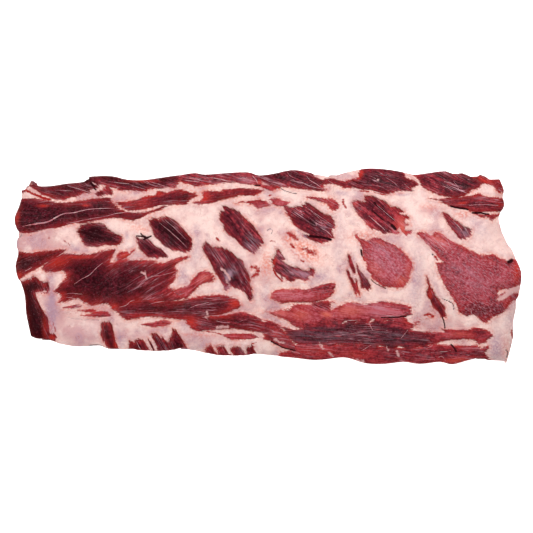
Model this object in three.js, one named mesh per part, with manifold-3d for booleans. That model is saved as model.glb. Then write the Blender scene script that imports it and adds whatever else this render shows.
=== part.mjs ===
// A rack of raw beef back ribs, lying with its outer, meaty side up: seven curved rib bones, sawn off
// along both long edges, in one slab of muscle and fat. Millimetres, +Z up. The origin is at the middle
// of the rack's footprint, +X runs along the rack and +Y towards the edge with the long strip of muscle.
import * as THREE from "three";
import { mergeVertices } from "three/addons/utils/BufferGeometryUtils.js";
import Module from "manifold-3d";

// Driving dimensions: the ribs' arch, their section, and the meat above and beside them
const ARCH_HEIGHT = 12;
const ARCH_POWER = 1.5;
const BONE_WIDTH = 25;
const BONE_THICKNESS = 13;
const BONE_PROUD = 2;
const COVER = 13.5;

// Half of the rack's width at its middle and its two ends, and how far off the X axis each is centred
const HALF_WIDTH = { left: 67, middle: 81, right: 83 };
const OFF_CENTRE = { left: 5, middle: 1, right: -5 };
const HALF_LENGTH = 215;

// Where each rib crosses the lines y = RIB_Y and y = -RIB_Y
const RIB_Y = 80;
const RIB_TOP_X = [-185, -123, -63, 1, 67, 124, 185];
const RIB_BOTTOM_X = [-192, -133, -67, -2, 63, 137, 201];

// The outline from above: two long edges from -X to +X, and two short ones from +Y to -Y
const TOP_EDGE = [
  [-215, 73], [-206, 72], [-187, 72], [-163, 76], [-156, 80], [-140, 81], [-123, 77], [-106, 77],
  [-86, 80], [-64, 83], [-38, 83], [-14, 84], [-4, 82], [21, 86], [46, 82], [58, 81], [84, 87],
  [106, 86], [132, 82], [160, 84], [178, 82], [189, 80], [208, 78],
];
const BOTTOM_EDGE = [
  [-214, -62], [-197, -66], [-171, -72], [-150, -72], [-139, -75], [-112, -76], [-88, -76], [-74, -74],
  [-46, -80], [-22, -80], [-8, -79], [24, -82], [46, -83], [70, -81], [88, -86], [122, -85],
  [155, -86], [170, -87], [190, -82], [215, -87],
];
const LEFT_EDGE = [
  [-215, 73], [-221, 64], [-223, 52], [-226, 42], [-221, 28], [-224, 16], [-225, -3], [-220, -20],
  [-217, -42], [-214, -62],
];
const RIGHT_EDGE = [
  [208, 78], [212, 67], [212, 54], [207, 43], [212, 25], [222, 6], [226, -12], [222, -32],
  [220, -62], [215, -87],
];

// Relief of the upper side: each row is centre x, y, half length, half width, turn in degrees, height.
// The windows between the ribs lie lower than the fat, and the muscles left on it stand above it.
const WINDOWS = [
  [-149, 28, 19, 11, -8, -2.4], [-86, 28, 22, 13, -38, -2.8], [-103, 16, 16, 8, -42, -2],
  [-24, 33, 27, 12, -45, -2.8], [-36, -1, 30, 13, -50, -2.8], [38, 39, 26, 14, -30, -3],
  [22, -5, 20, 8, -25, -2.2], [101, 45, 28, 15, -35, -3], [105, 2, 26, 18, -35, -2],
  [82, -6, 18, 7, -58, -2.2], [170, 36, 19, 9, -42, -2.4], [153, -28, 21, 7, -65, -2.4],
  [-206, -40, 27, 11, -82, -3.2], [-143, -62, 14, 8, -85, -2.2],
];
const MUSCLES = [
  [-120, 76, 105, 10, 1, 1.8], [85, 78, 120, 12, -1, 2], [-173, 47, 54, 13, -3, 2.4],
  [-99, 59, 36, 8, 8, 1.8], [-32, 63, 29, 8, 5, 1.6], [-135, -12, 56, 22, -5, 2.8],
  [-79, -35, 58, 10, -1, 2], [-25, -53, 54, 11, -11, 2.4], [32, -23, 30, 9, 5, 2],
  [79, -55, 70, 24, -8, 3], [180, -66, 30, 12, 0, 2.2], [189, -8, 40, 25, -28, 2.2],
];
const RELIEF = [...WINDOWS, ...MUSCLES];
const RIDGE_HEIGHT = 2;
const RIDGE_SPREAD = 10;
const END_THINNING = 0.2;

// The rim: how far in its rounding begins, how far it falls above and rises below, and how far the
// long and the short edges draw in above and below their fullest line
const RIM_REACH = 14;
const RIM_FALL = 5.5;
const BELLY_REACH = 9;
const BELLY_RISE = 1.5;
const TOP_INSET = 2.5;
const SAWN_INSET = 1.2;
const FLANK_INSET = 4;

// Fineness of the solids
const SLAB_CELLS = [64, 24, 3];
const RIM_CROWDING = 0.25;
const BONE_SIDES = 14;
const BONE_STEPS = 12;

// The groove around each bone, the saw's set-back of the bone ends, and the depth of the flats below
const BONE_GAP = 0.3;
const GROOVE_OVERRUN = 12;
const END_SETBACK = 1.2;
const FLAT_DEPTH = 0.8;
const BONE_ROUNDNESS = 0.75;
const BONE_WAIST = 0.1;

const MATERIALS = {
  meat: new THREE.MeshStandardMaterial({ color: "#8b3a40", roughness: 0.5, metalness: 0 }),
  bone: new THREE.MeshStandardMaterial({ color: "#dcc6b4", roughness: 0.6, metalness: 0 }),
};

const mix = (a, b, t) => a + (b - a) * t;
const clamp01 = (t) => Math.min(1, Math.max(0, t));

// A value at x that runs smoothly from the rack's left end over its middle to its right end
function alongRack({ left, middle, right }, x) {
  const t = x / HALF_LENGTH;
  return middle + ((right - left) / 2) * t + ((left + right) / 2 - middle) * t * t;
}

// Height of the ribs' lower faces above the table: they arch from one long edge to the other
function archAt(x, y) {
  const t = (y - alongRack(OFF_CENTRE, x)) / alongRack(HALF_WIDTH, x);
  return ARCH_HEIGHT * Math.max(0, 1 - t * t) ** ARCH_POWER;
}

function ribCentre(index, y) {
  return mix(RIB_BOTTOM_X[index], RIB_TOP_X[index], (y + RIB_Y) / (2 * RIB_Y));
}

function edgeCurve(points) {
  return new THREE.SplineCurve(points.map(([x, y]) => new THREE.Vector2(x, y)));
}

const topEdge = edgeCurve(TOP_EDGE);
const bottomEdge = edgeCurve(BOTTOM_EDGE);
const leftEdge = edgeCurve(LEFT_EDGE);
const rightEdge = edgeCurve(RIGHT_EDGE);
const rackLength = topEdge.getLength();
const rackWidth = 2 * HALF_WIDTH.middle;

// Point of the footprint at u along the rack and v from its +Y edge to its -Y edge, both 0 to 1:
// a patch stretched between the four edges
function footprint(u, v) {
  const acrossWidth = topEdge.getPointAt(u).lerp(bottomEdge.getPointAt(u), v);
  const alongLength = leftEdge.getPointAt(v).lerp(rightEdge.getPointAt(v), u);
  const upper = topEdge.getPointAt(0).lerp(topEdge.getPointAt(1), u);
  const lower = bottomEdge.getPointAt(0).lerp(bottomEdge.getPointAt(1), u);
  return acrossWidth.add(alongLength).sub(upper.lerp(lower, v));
}

// A smooth mound or hollow over an ellipse
function bump([centreX, centreY, halfLength, halfWidth, turn, height], x, y) {
  const angle = THREE.MathUtils.degToRad(turn);
  const dx = x - centreX;
  const dy = y - centreY;
  const along = (dx * Math.cos(angle) + dy * Math.sin(angle)) / halfLength;
  const across = (dy * Math.cos(angle) - dx * Math.sin(angle)) / halfWidth;
  return height * clamp01(1 - along * along - across * across) ** 0.7;
}

// How far the upper side stands over the ribs: an even cover, ridges over the ribs, and the relief
function coverAt(x, y) {
  const fromRib = Math.min(...RIB_TOP_X.map((_, index) => Math.abs(x - ribCentre(index, y))));
  const ridge = RIDGE_HEIGHT * Math.exp(-((fromRib / RIDGE_SPREAD) ** 2));
  const relief = RELIEF.reduce((sum, form) => sum + bump(form, x, y), 0);
  const thinning = 1 - END_THINNING * (x / HALF_LENGTH) ** 4;
  return COVER * thinning + ridge + relief;
}

// Crowds the grid lines towards the rim, where the slab turns down
function crowd(t) {
  return t - (RIM_CROWDING * Math.sin(2 * Math.PI * t)) / (2 * Math.PI);
}

function drawIn(t, inset, length) {
  return mix(t, 0.5, (2 * inset) / length);
}

// Vertices shared between faces, with nothing but their positions
function joined(geometry) {
  geometry.deleteAttribute("normal");
  geometry.deleteAttribute("uv");
  return mergeVertices(geometry, 1e-6);
}

// The slab of meat and fat, still without the grooves that the bones lie in
function slabGeometry() {
  const slab = joined(new THREE.BoxGeometry(1, 1, 1, ...SLAB_CELLS));
  const position = slab.getAttribute("position");
  for (let i = 0; i < position.count; i += 1) {
    const u = crowd(position.getX(i) + 0.5);
    const v = crowd(0.5 - position.getY(i));
    const level = position.getZ(i) + 0.5;
    const above = TOP_INSET * clamp01(2 * level - 1) ** 2;
    const below = clamp01(1 - 2 * level) ** 2;
    const drawnU = drawIn(u, above + FLANK_INSET * below, rackLength);
    const drawnV = drawIn(v, above + SAWN_INSET * below, rackWidth);
    const { x, y } = footprint(drawnU, drawnV);
    const fromRim = Math.min(Math.min(u, 1 - u) * rackLength, Math.min(v, 1 - v) * rackWidth);
    const fall = RIM_FALL * clamp01(1 - fromRim / RIM_REACH) ** 2;
    const rise = BELLY_RISE * clamp01(1 - fromRim / BELLY_REACH) ** 2;
    const belly = archAt(x, y) + BONE_PROUD + rise;
    const back = archAt(x, y) + BONE_THICKNESS + coverAt(x, y) - fall;
    position.setXYZ(i, x, y, mix(belly, back, level));
  }
  return slab;
}

// A flattened oval, the cross-section of a rib, grown by a clearance
function ribSection(clearance) {
  const flatten = (value) => Math.sign(value) * Math.abs(value) ** BONE_ROUNDNESS;
  const corners = Array.from({ length: BONE_SIDES }, (_, i) => {
    const angle = ((i + 0.5) / BONE_SIDES) * 2 * Math.PI;
    return new THREE.Vector2(
      flatten(Math.cos(angle)) * (BONE_WIDTH / 2 + clearance),
      flatten(Math.sin(angle)) * (BONE_THICKNESS / 2 + clearance),
    );
  });
  return new THREE.Shape(corners);
}

// Height of an edge of the outline where a rib crosses it
function edgeAt(points, x) {
  const after = points.findIndex(([px]) => px >= x);
  const [x0, y0] = points[after - 1];
  const [x1, y1] = points[after];
  return mix(y0, y1, (x - x0) / (x1 - x0));
}

// One rib: its section swept from edge to edge, a little waisted, and arched. The clearance and the
// overrun make it the cutter for its own groove.
function ribGeometry(index, clearance, overrun) {
  const sweep = { depth: 1, steps: BONE_STEPS, bevelEnabled: false };
  const rib = joined(new THREE.ExtrudeGeometry(ribSection(clearance), sweep));
  const position = rib.getAttribute("position");
  const start = edgeAt(TOP_EDGE, ribCentre(index, RIB_Y)) - END_SETBACK + overrun;
  const end = edgeAt(BOTTOM_EDGE, ribCentre(index, -RIB_Y)) + END_SETBACK - overrun;
  for (let i = 0; i < position.count; i += 1) {
    const y = mix(start, end, position.getZ(i));
    const waist = 1 - BONE_WAIST * Math.cos((Math.PI * y) / rackWidth + index);
    const x = ribCentre(index, y) + position.getX(i) * waist;
    const z = archAt(ribCentre(index, y), y) + BONE_THICKNESS / 2 - FLAT_DEPTH + position.getY(i);
    position.setXYZ(i, x, y, z);
  }
  return rib;
}

const wasm = await Module();
wasm.setup();

function toSolid(geometry) {
  const vertProperties = new Float32Array(geometry.getAttribute("position").array);
  const triVerts = new Uint32Array(geometry.index.array);
  return new wasm.Manifold(new wasm.Mesh({ numProp: 3, vertProperties, triVerts }));
}

function toGeometry(solid) {
  const { vertProperties, triVerts } = solid.getMesh();
  const geometry = new THREE.BufferGeometry();
  geometry.setAttribute("position", new THREE.BufferAttribute(vertProperties, 3));
  geometry.setIndex(new THREE.BufferAttribute(triVerts, 1));
  geometry.computeVertexNormals();
  return geometry;
}

// Everything below the table, which is cut off the ribs so that they rest on flats at their ends
function belowTable() {
  const depth = 2 * BONE_THICKNESS;
  const block = new THREE.BoxGeometry(3 * HALF_LENGTH, 2 * rackWidth, depth);
  return toSolid(joined(block.translate(0, 0, -depth / 2)));
}

const rack = new THREE.Group();

function addPart(name, solid, material) {
  const part = new THREE.Mesh(toGeometry(solid), material);
  part.name = name;
  rack.add(part);
}

const underside = belowTable();
let meat = toSolid(slabGeometry());
RIB_TOP_X.forEach((_, index) => {
  addPart(`rib_bone_${index + 1}`, toSolid(ribGeometry(index, 0, 0)).subtract(underside), MATERIALS.bone);
  meat = meat.subtract(toSolid(ribGeometry(index, BONE_GAP, GROOVE_OVERRUN)));
});
addPart("rib_meat", meat, MATERIALS.meat);

// The footprint's middle goes to the origin
const bounds = new THREE.Box3().setFromObject(rack);
const middle = bounds.getCenter(new THREE.Vector3());
rack.position.set(-middle.x, -middle.y, -bounds.min.z);

export default rack;
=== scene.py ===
# Dresses a rack of raw beef back ribs: pale fat with dark muscle showing in windows between the ribs,
# red muscles lying along both long edges, sawn rib bones, and silver skin over the hollow underside.
import math

import bmesh
import bpy
import numpy as np
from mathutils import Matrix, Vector


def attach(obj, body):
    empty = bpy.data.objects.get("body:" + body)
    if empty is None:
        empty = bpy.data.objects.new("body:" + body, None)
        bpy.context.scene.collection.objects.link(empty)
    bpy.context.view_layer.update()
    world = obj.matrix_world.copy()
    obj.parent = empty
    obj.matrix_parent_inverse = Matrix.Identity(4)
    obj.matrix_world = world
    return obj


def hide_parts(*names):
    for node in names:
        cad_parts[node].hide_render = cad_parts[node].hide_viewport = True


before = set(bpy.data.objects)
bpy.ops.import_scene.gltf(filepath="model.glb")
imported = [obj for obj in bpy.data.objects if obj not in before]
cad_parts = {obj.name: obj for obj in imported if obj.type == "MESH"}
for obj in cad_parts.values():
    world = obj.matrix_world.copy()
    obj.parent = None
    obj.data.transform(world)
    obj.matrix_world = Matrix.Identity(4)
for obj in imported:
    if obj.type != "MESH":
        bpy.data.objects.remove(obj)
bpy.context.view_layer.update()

bl_info = {
    "name": "Raw Beef Back Ribs",
    "version": (1, 0, 0),
    "blender": (4, 5, 0),
    "location": "View3D > Sidebar > Ribs",
    "description": "Dresses a rack of raw beef back ribs with fat, muscle, silver skin and sawn bone",
    "category": "Add Mesh",
}

MM = 0.001

# The photograph: one of its pixels on the rack, in millimetres, and the pixel over the middle of the rack
PIXEL = 0.9
PHOTO_SIDE = 533
PHOTO_MIDDLE = (267.5, 266.5)

# The rack as in the model, in millimetres: its arch, its bones and the meat over them
ARCH_HEIGHT = 12
ARCH_POWER = 1.5
BONE_WIDTH = 25
BONE_THICKNESS = 13
BONE_PROUD = 2
BONE_ROUNDNESS = 0.75
BONE_WAIST = 0.1
COVER = 13.5
HALF_WIDTH = (67, 81, 83)
OFF_CENTRE = (5, 1, -5)
HALF_LENGTH = 215
RIB_Y = 80
RIB_TOP_X = (-185, -123, -63, 1, 67, 124, 185)
RIB_BOTTOM_X = (-192, -133, -67, -2, 63, 137, 201)
FLAT_DEPTH = 0.8

TOP_EDGE = (
    (-215, 73), (-206, 72), (-187, 72), (-163, 76), (-156, 80), (-140, 81), (-123, 77), (-106, 77),
    (-86, 80), (-64, 83), (-38, 83), (-14, 84), (-4, 82), (21, 86), (46, 82), (58, 81), (84, 87),
    (106, 86), (132, 82), (160, 84), (178, 82), (189, 80), (208, 78),
)
BOTTOM_EDGE = (
    (-214, -62), (-197, -66), (-171, -72), (-150, -72), (-139, -75), (-112, -76), (-88, -76), (-74, -74),
    (-46, -80), (-22, -80), (-8, -79), (24, -82), (46, -83), (70, -81), (88, -86), (122, -85),
    (155, -86), (170, -87), (190, -82), (215, -87),
)
LEFT_EDGE = (
    (-215, 73), (-221, 64), (-223, 52), (-226, 42), (-221, 28), (-224, 16), (-225, -3), (-220, -20),
    (-217, -42), (-214, -62),
)
RIGHT_EDGE = (
    (208, 78), (212, 67), (212, 54), (207, 43), (212, 25), (222, 6), (226, -12), (222, -32),
    (220, -62), (215, -87),
)

# The same edges as the photograph shows them, in its pixels, finer than the model's
TOP_PIXELS = (
    (29, 187), (33, 185), (40, 187), (53, 187), (70, 184.5), (87, 182.5), (92, 177.5), (112, 177),
    (127, 180.5), (145, 181), (163, 178.5), (180, 176), (195, 174), (205, 175.5), (225, 174), (247, 173),
    (258, 176), (272, 175), (291, 171), (305, 172.5), (318, 175), (331, 176.5), (346, 172.5), (362, 169.5),
    (383, 170), (403, 173), (414, 175.5), (428, 174), (445, 172), (454, 176), (462, 174), (474, 180),
    (480, 175.5), (488, 180), (499, 180),
)
BOTTOM_PIXELS = (
    (31, 336), (36, 339), (48, 340), (62, 344), (78, 346.5), (100, 345.5), (110, 349), (129, 349), (143, 351),
    (169, 351), (183, 348.5), (200, 351.5), (217, 355.5), (243, 356), (258, 354), (275, 355.5), (295, 357),
    (312, 359), (325, 358.5), (340, 356.5), (350, 357.5), (366, 362.5), (385, 363), (403, 361), (420, 363),
    (440, 361), (452, 363.5), (466, 360), (480, 357), (490, 360), (503, 361), (506, 364),
)
LEFT_PIXELS = (
    (29, 187), (27, 189), (22, 192), (22, 200), (20, 209), (16, 220), (19, 230), (23, 236), (19, 239),
    (18, 247), (20, 254.5), (17.5, 266), (20, 279), (24, 290), (25.5, 300), (26, 312), (29.5, 330), (31, 336),
)
RIGHT_PIXELS = (
    (499, 180), (503, 190), (502.5, 198), (503, 206), (500, 212), (498, 218), (500, 230), (503, 238),
    (507, 246), (510, 249), (515, 260), (519.5, 272), (519.5, 284), (517.5, 295), (515, 300), (515, 308),
    (512.5, 322), (513, 335), (510, 350), (507, 361), (506, 364),
)

# The rim: a broad fall towards it, a round turn over it, a wall below that steps back at the sawn ribs,
# a lip under the rack, the silver skin that starts inside it, and the floor just below
RIM_REACH = 14
RIM_FALL = 5.5
TURN_REACH = 2.5
TURN_DROP = 4
SAWN_INSET = 1.2
SAW_BITE = 2.2
SKIN_INSET = 4
FLOOR_GAP = 0.4
BELLY_REACH = 9
BELLY_RISE = 1.5
RIDGE_HEIGHT = 2
RIDGE_SPREAD = 10
END_THINNING = 0.2

# Fineness, in millimetres or in rows
FAT_CELL = 0.85
TURN_ROWS = 4
WALL_ROWS = 11
LIP_ROWS = 3
LIP_STEP = 2.5
BELLY_CELL = 1.8
GRAIN_ACROSS = 0.42
GRAIN_ALONG = 0.95

# How far beside a muscle its own fine sheet reaches, and how deep the coarser fat sheet ducks under it
MARGIN = 3.2
DUCK = 0.8
FAR = 6.0

# How sharply neighbouring muscles' looks change at their seam, and how far their sheets fold down a wall
SEAM = 2.0
FOLD = 9.0

# What a muscle is like, by kind: where it lies, -1 sunk in a window or 1 on the fat, its swell, its tone
# from 0, near black, to 1, rose, how streaky and marbled it is, how coarse its fibres are, how far they
# fray and split at their ends, how wide its outline blends into the fat, how much redder and how wide its
# rim is, and how much thin grey skin lies round it
WINDOW = dict(
    lies=-1, swell=0.9, tone=0.1, streak=0.6, marble=0.0, coarse=1, fray=1.2, split=0.6, soft=1.1, rim=0.2,
    rim_width=1.2, skin=0.75,
)
BAND = dict(
    lies=1, swell=0.8, tone=0.36, streak=0.4, marble=0.1, coarse=0.7, fray=0.9, split=0.5, soft=2.2, rim=0.8,
    rim_width=2.6, skin=0.0,
)
EYE = dict(
    lies=0.3, swell=1.0, tone=0.7, streak=0.15, marble=0.75, coarse=0.25, fray=0.4, split=0.3, soft=2.2,
    rim=0.9, rim_width=2.6, skin=0.2,
)


def muscle(name, kind, grain, outline, **own):
    """One muscle: its name, its fibres' direction in degrees, and its outline in the photograph's pixels."""
    return {**kind, "name": name, "grain": grain, "outline": outline, **own}


WINDOWS = (
    muscle("window_1", WINDOW, -14, [
        (82, 226), (88, 224), (98, 223), (105, 224.7), (110, 229.7), (117, 234), (122, 235.5),
        (123.6, 239.6), (120, 244.6), (113.6, 246), (108, 245.4), (99.6, 247), (93, 247), (87, 245.4),
        (83, 240.4), (81, 237), (79, 233),
    ], tone=0.02, streak=0.06, fray=1.0),
    muscle("window_2", WINDOW, -42, [
        (150, 221), (155, 218.5), (160, 219), (166.5, 217), (171.5, 218), (176, 221), (183, 228),
        (188, 234), (192, 239), (192.6, 244), (191, 250), (187, 252), (180, 251.6), (171.5, 249.6),
        (163, 244.6), (159, 240), (154, 236), (153, 230.5),
    ], tone=0.08, streak=0.35),
    muscle("window_3", WINDOW, -45, [
        (137.5, 238), (141, 239), (150, 239.6), (155, 245), (163, 250), (168, 256), (166.5, 258),
        (161.5, 258), (156.5, 258), (150, 258), (145, 254), (141, 249.6),
    ], tone=0.06, streak=0.15),
    muscle("window_4", WINDOW, -48, [
        (219.6, 214), (221, 210), (225, 207), (229.5, 207.7), (234.5, 209), (238.6, 211), (240, 214),
        (246, 219), (253, 225.5), (260, 235), (262, 241), (259, 247), (257, 252), (252, 253), (246, 250),
        (241, 246), (236, 240), (229, 235.5), (225, 231), (224, 225.5), (220, 220),
    ], tone=0.38, streak=1.0, fray=2.4),
    muscle("window_5", WINDOW, -55, [
        (203, 250), (204, 245), (208, 242), (213, 247), (218, 247), (223, 248), (229.5, 251), (235, 255),
        (242, 260), (245, 267), (249, 274), (250, 282), (252, 290), (252, 299), (249, 300), (246, 294),
        (240, 289), (235, 288), (231, 287), (225, 290), (223, 284), (218, 276), (213, 268), (210, 261),
        (206, 254.5),
    ], tone=0.3, streak=0.8, fray=1.6, skin=0.8),
    muscle("window_6", WINDOW, -33, [
        (283, 207), (286, 206), (290, 208), (295, 207), (299, 206), (303, 204), (307, 203), (311, 205),
        (315, 208), (319, 211), (323, 213.5), (327, 215), (330, 216), (332, 219), (334, 226), (332, 229),
        (332, 232), (333, 236), (331, 238), (330, 239), (329, 242), (325, 243), (320, 243.5), (315, 242),
        (311, 240), (305, 238), (302, 235), (308, 235), (305, 233), (301, 231), (298, 229), (294, 226),
        (291, 222), (290, 219), (288, 217), (286, 213), (284, 209),
    ], tone=0.36, streak=0.9, fray=1.6),
    muscle("window_7", WINDOW, -38, [
        (276, 251), (278, 249), (281, 252), (283, 256), (284, 259), (283, 261), (286, 264), (289, 266),
        (293, 267), (298, 268), (302, 270), (306, 272), (309, 271), (310, 268.5), (313, 269), (315, 271),
        (314, 274), (311, 276), (308, 277), (308, 279), (306, 281), (303, 280), (297, 279), (294, 280),
        (291, 281.5), (288, 281), (286, 279), (284, 277), (282, 280), (281, 276), (277, 273), (274, 270),
        (272, 266), (272, 262), (274, 257),
    ], tone=0.45, streak=1.5, fray=1.8, skin=1.0),
    muscle("window_8", WINDOW, -41, [
        (352, 205), (353, 202.7), (357, 201), (362, 202), (364, 199), (366, 196), (370, 195.5), (374, 197),
        (378, 198.5), (382, 200), (385, 202), (388, 205), (389, 206.5), (393, 207), (397, 208), (400, 210),
        (403, 212), (402, 213), (398, 213), (400, 214.5), (403, 215), (408, 217.5), (406, 219),
        (403, 220.5), (404, 224), (409, 225), (406, 226), (404, 228), (403, 230), (407, 231.5), (412, 232),
        (408, 234), (405, 236), (402, 233), (400, 230), (399, 228), (397, 232), (400, 233.5), (395, 235),
        (391, 234), (388, 233.5), (384, 234), (382, 235.5), (381, 233), (377, 231), (373, 229), (370, 229),
        (366, 225), (363, 221), (361, 219), (359, 217), (356, 213), (353, 208),
    ], tone=0.5, streak=0.75, fray=1.4),
    muscle("slit_left", WINDOW, -58, [
        (356, 264), (359, 270), (361, 273), (364, 277), (367, 280), (369, 284), (369, 288), (367, 290),
        (364, 288), (360, 287), (360, 283), (359, 279), (358, 275), (356, 271),
    ], tone=0.3, streak=1.5, fray=1.4, skin=1.0),
    muscle("slit_left_top", WINDOW, -70, [
        (346.5, 256), (349.5, 255.5), (351.5, 261), (354, 268), (355.5, 273), (353, 273.5), (350.5, 269),
        (348, 262),
    ], tone=0.42, streak=1.3, skin=1.0),
    muscle("slit_left_red", WINDOW, -66, [
        (346, 274), (347, 270), (349, 273), (350, 277), (352, 279), (354, 283), (355, 279), (357, 283),
        (357, 287), (358, 290), (359, 293), (358, 295), (357, 292), (356, 296), (354, 292), (352, 287),
        (350, 282), (348, 277),
    ], tone=0.55, rim=1.0, streak=0.2),
    muscle("window_9", WINDOW, -44, [
        (441, 213), (446, 214), (452, 219), (459, 224), (466, 228), (470, 229), (469, 234), (466, 239),
        (464, 240), (460, 240), (456, 237), (452, 232), (449, 228), (445, 222),
    ], tone=0.42, streak=1.5, fray=1.8, skin=0.9),
    muscle("slit_right", WINDOW, -62, [
        (425, 276), (427, 280), (428, 283), (430, 288), (433, 292), (435, 296), (438, 300), (441, 304),
        (444, 307), (444, 312), (445, 316), (441, 318), (439, 315), (436, 311), (433, 308), (430, 303),
        (428, 299), (425, 294), (427, 288), (426, 282),
    ], tone=0.24, rim=0.9, streak=0.3),
    muscle("corner_block", WINDOW, -70, [
        (12, 281), (22, 281), (30, 279), (37, 276.5), (39, 278), (41, 280.5), (44, 282), (48, 281),
        (50.5, 283), (51, 290), (48.5, 293), (43, 293), (39, 293.5), (37.5, 295), (39, 299), (41, 304),
        (43.5, 309), (46, 313), (49, 318), (50.5, 324), (51, 330), (52, 333.5), (56, 334), (57.5, 336),
        (56, 341), (56, 348), (30, 346), (16, 338), (12, 313),
    ], tone=-0.06, streak=0.0, rim=0.5, rim_width=2.5),
    muscle("tooth_1", WINDOW, -80, [
        (103, 322), (105, 321.5), (109, 321.5), (111.5, 322), (113, 325), (114, 329), (115, 334),
        (116, 340), (118, 345), (119.5, 349), (121, 357), (108, 357), (108, 349), (106, 344), (104, 341),
        (102, 337), (101, 334), (101.5, 330), (102, 325),
    ], tone=0.02, streak=0.05, rim=0.7, rim_width=2.0),
    muscle("tooth_2", WINDOW, -62, [
        (129.5, 349), (130, 345), (131, 342), (134, 341), (136, 340), (142, 338.5), (144, 340), (147, 345),
        (150, 350), (153, 359), (129, 359),
    ], tone=0.22, streak=0.8, rim=0.8, rim_width=2.0),
    muscle("tooth_2_sliver", WINDOW, -62, [
        (149, 339), (151, 341), (153, 345), (155, 350), (158, 359), (155, 359), (153, 350), (151, 345),
    ], tone=0.3, streak=0.8),
    muscle("tooth_3", WINDOW, -60, [
        (153, 335), (154, 333), (157, 332.5), (159, 335), (161, 337), (163, 337), (165, 339), (168, 342),
        (170, 341), (172, 346), (172, 359), (159, 359), (158, 350), (157, 347), (155, 341), (153, 338),
    ], tone=0.28, streak=0.5, rim=0.5),
    muscle("tooth_4", WINDOW, -66, [
        (169, 344), (170, 341), (171, 337), (173, 332), (174.5, 329), (177, 330), (179, 333), (181, 336),
        (183, 339), (184.5, 342), (187, 346), (188, 350), (191, 359), (170, 359),
    ], tone=0.18, streak=0.15, rim=0.7),
    muscle("tooth_5", WINDOW, -60, [
        (206, 349), (208, 347), (211, 345.5), (213, 347), (215, 351), (218, 355), (222, 364), (206, 362),
    ], tone=0.3, streak=0.9, rim=0.9),
    muscle("tooth_6", WINDOW, -60, [
        (217, 347), (220, 346), (224, 345.5), (226, 349), (228, 353), (232, 355), (235, 364), (221, 364),
        (218, 351),
    ], tone=0.42, rim=0.9),
    muscle("tooth_7", WINDOW, -60, [
        (231, 350), (234, 346), (240, 346.5), (243, 350), (245, 353), (248, 364), (235, 364), (233, 355),
    ], tone=0.38, streak=0.5, rim=0.9),
    muscle("tooth_8", WINDOW, -60, [
        (246, 350), (247, 347), (251, 346), (252, 344.5), (254, 346), (254, 349), (257, 354), (260, 364),
        (249, 364), (247, 353),
    ], tone=0.24, streak=0.3, rim=0.7),
)

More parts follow.
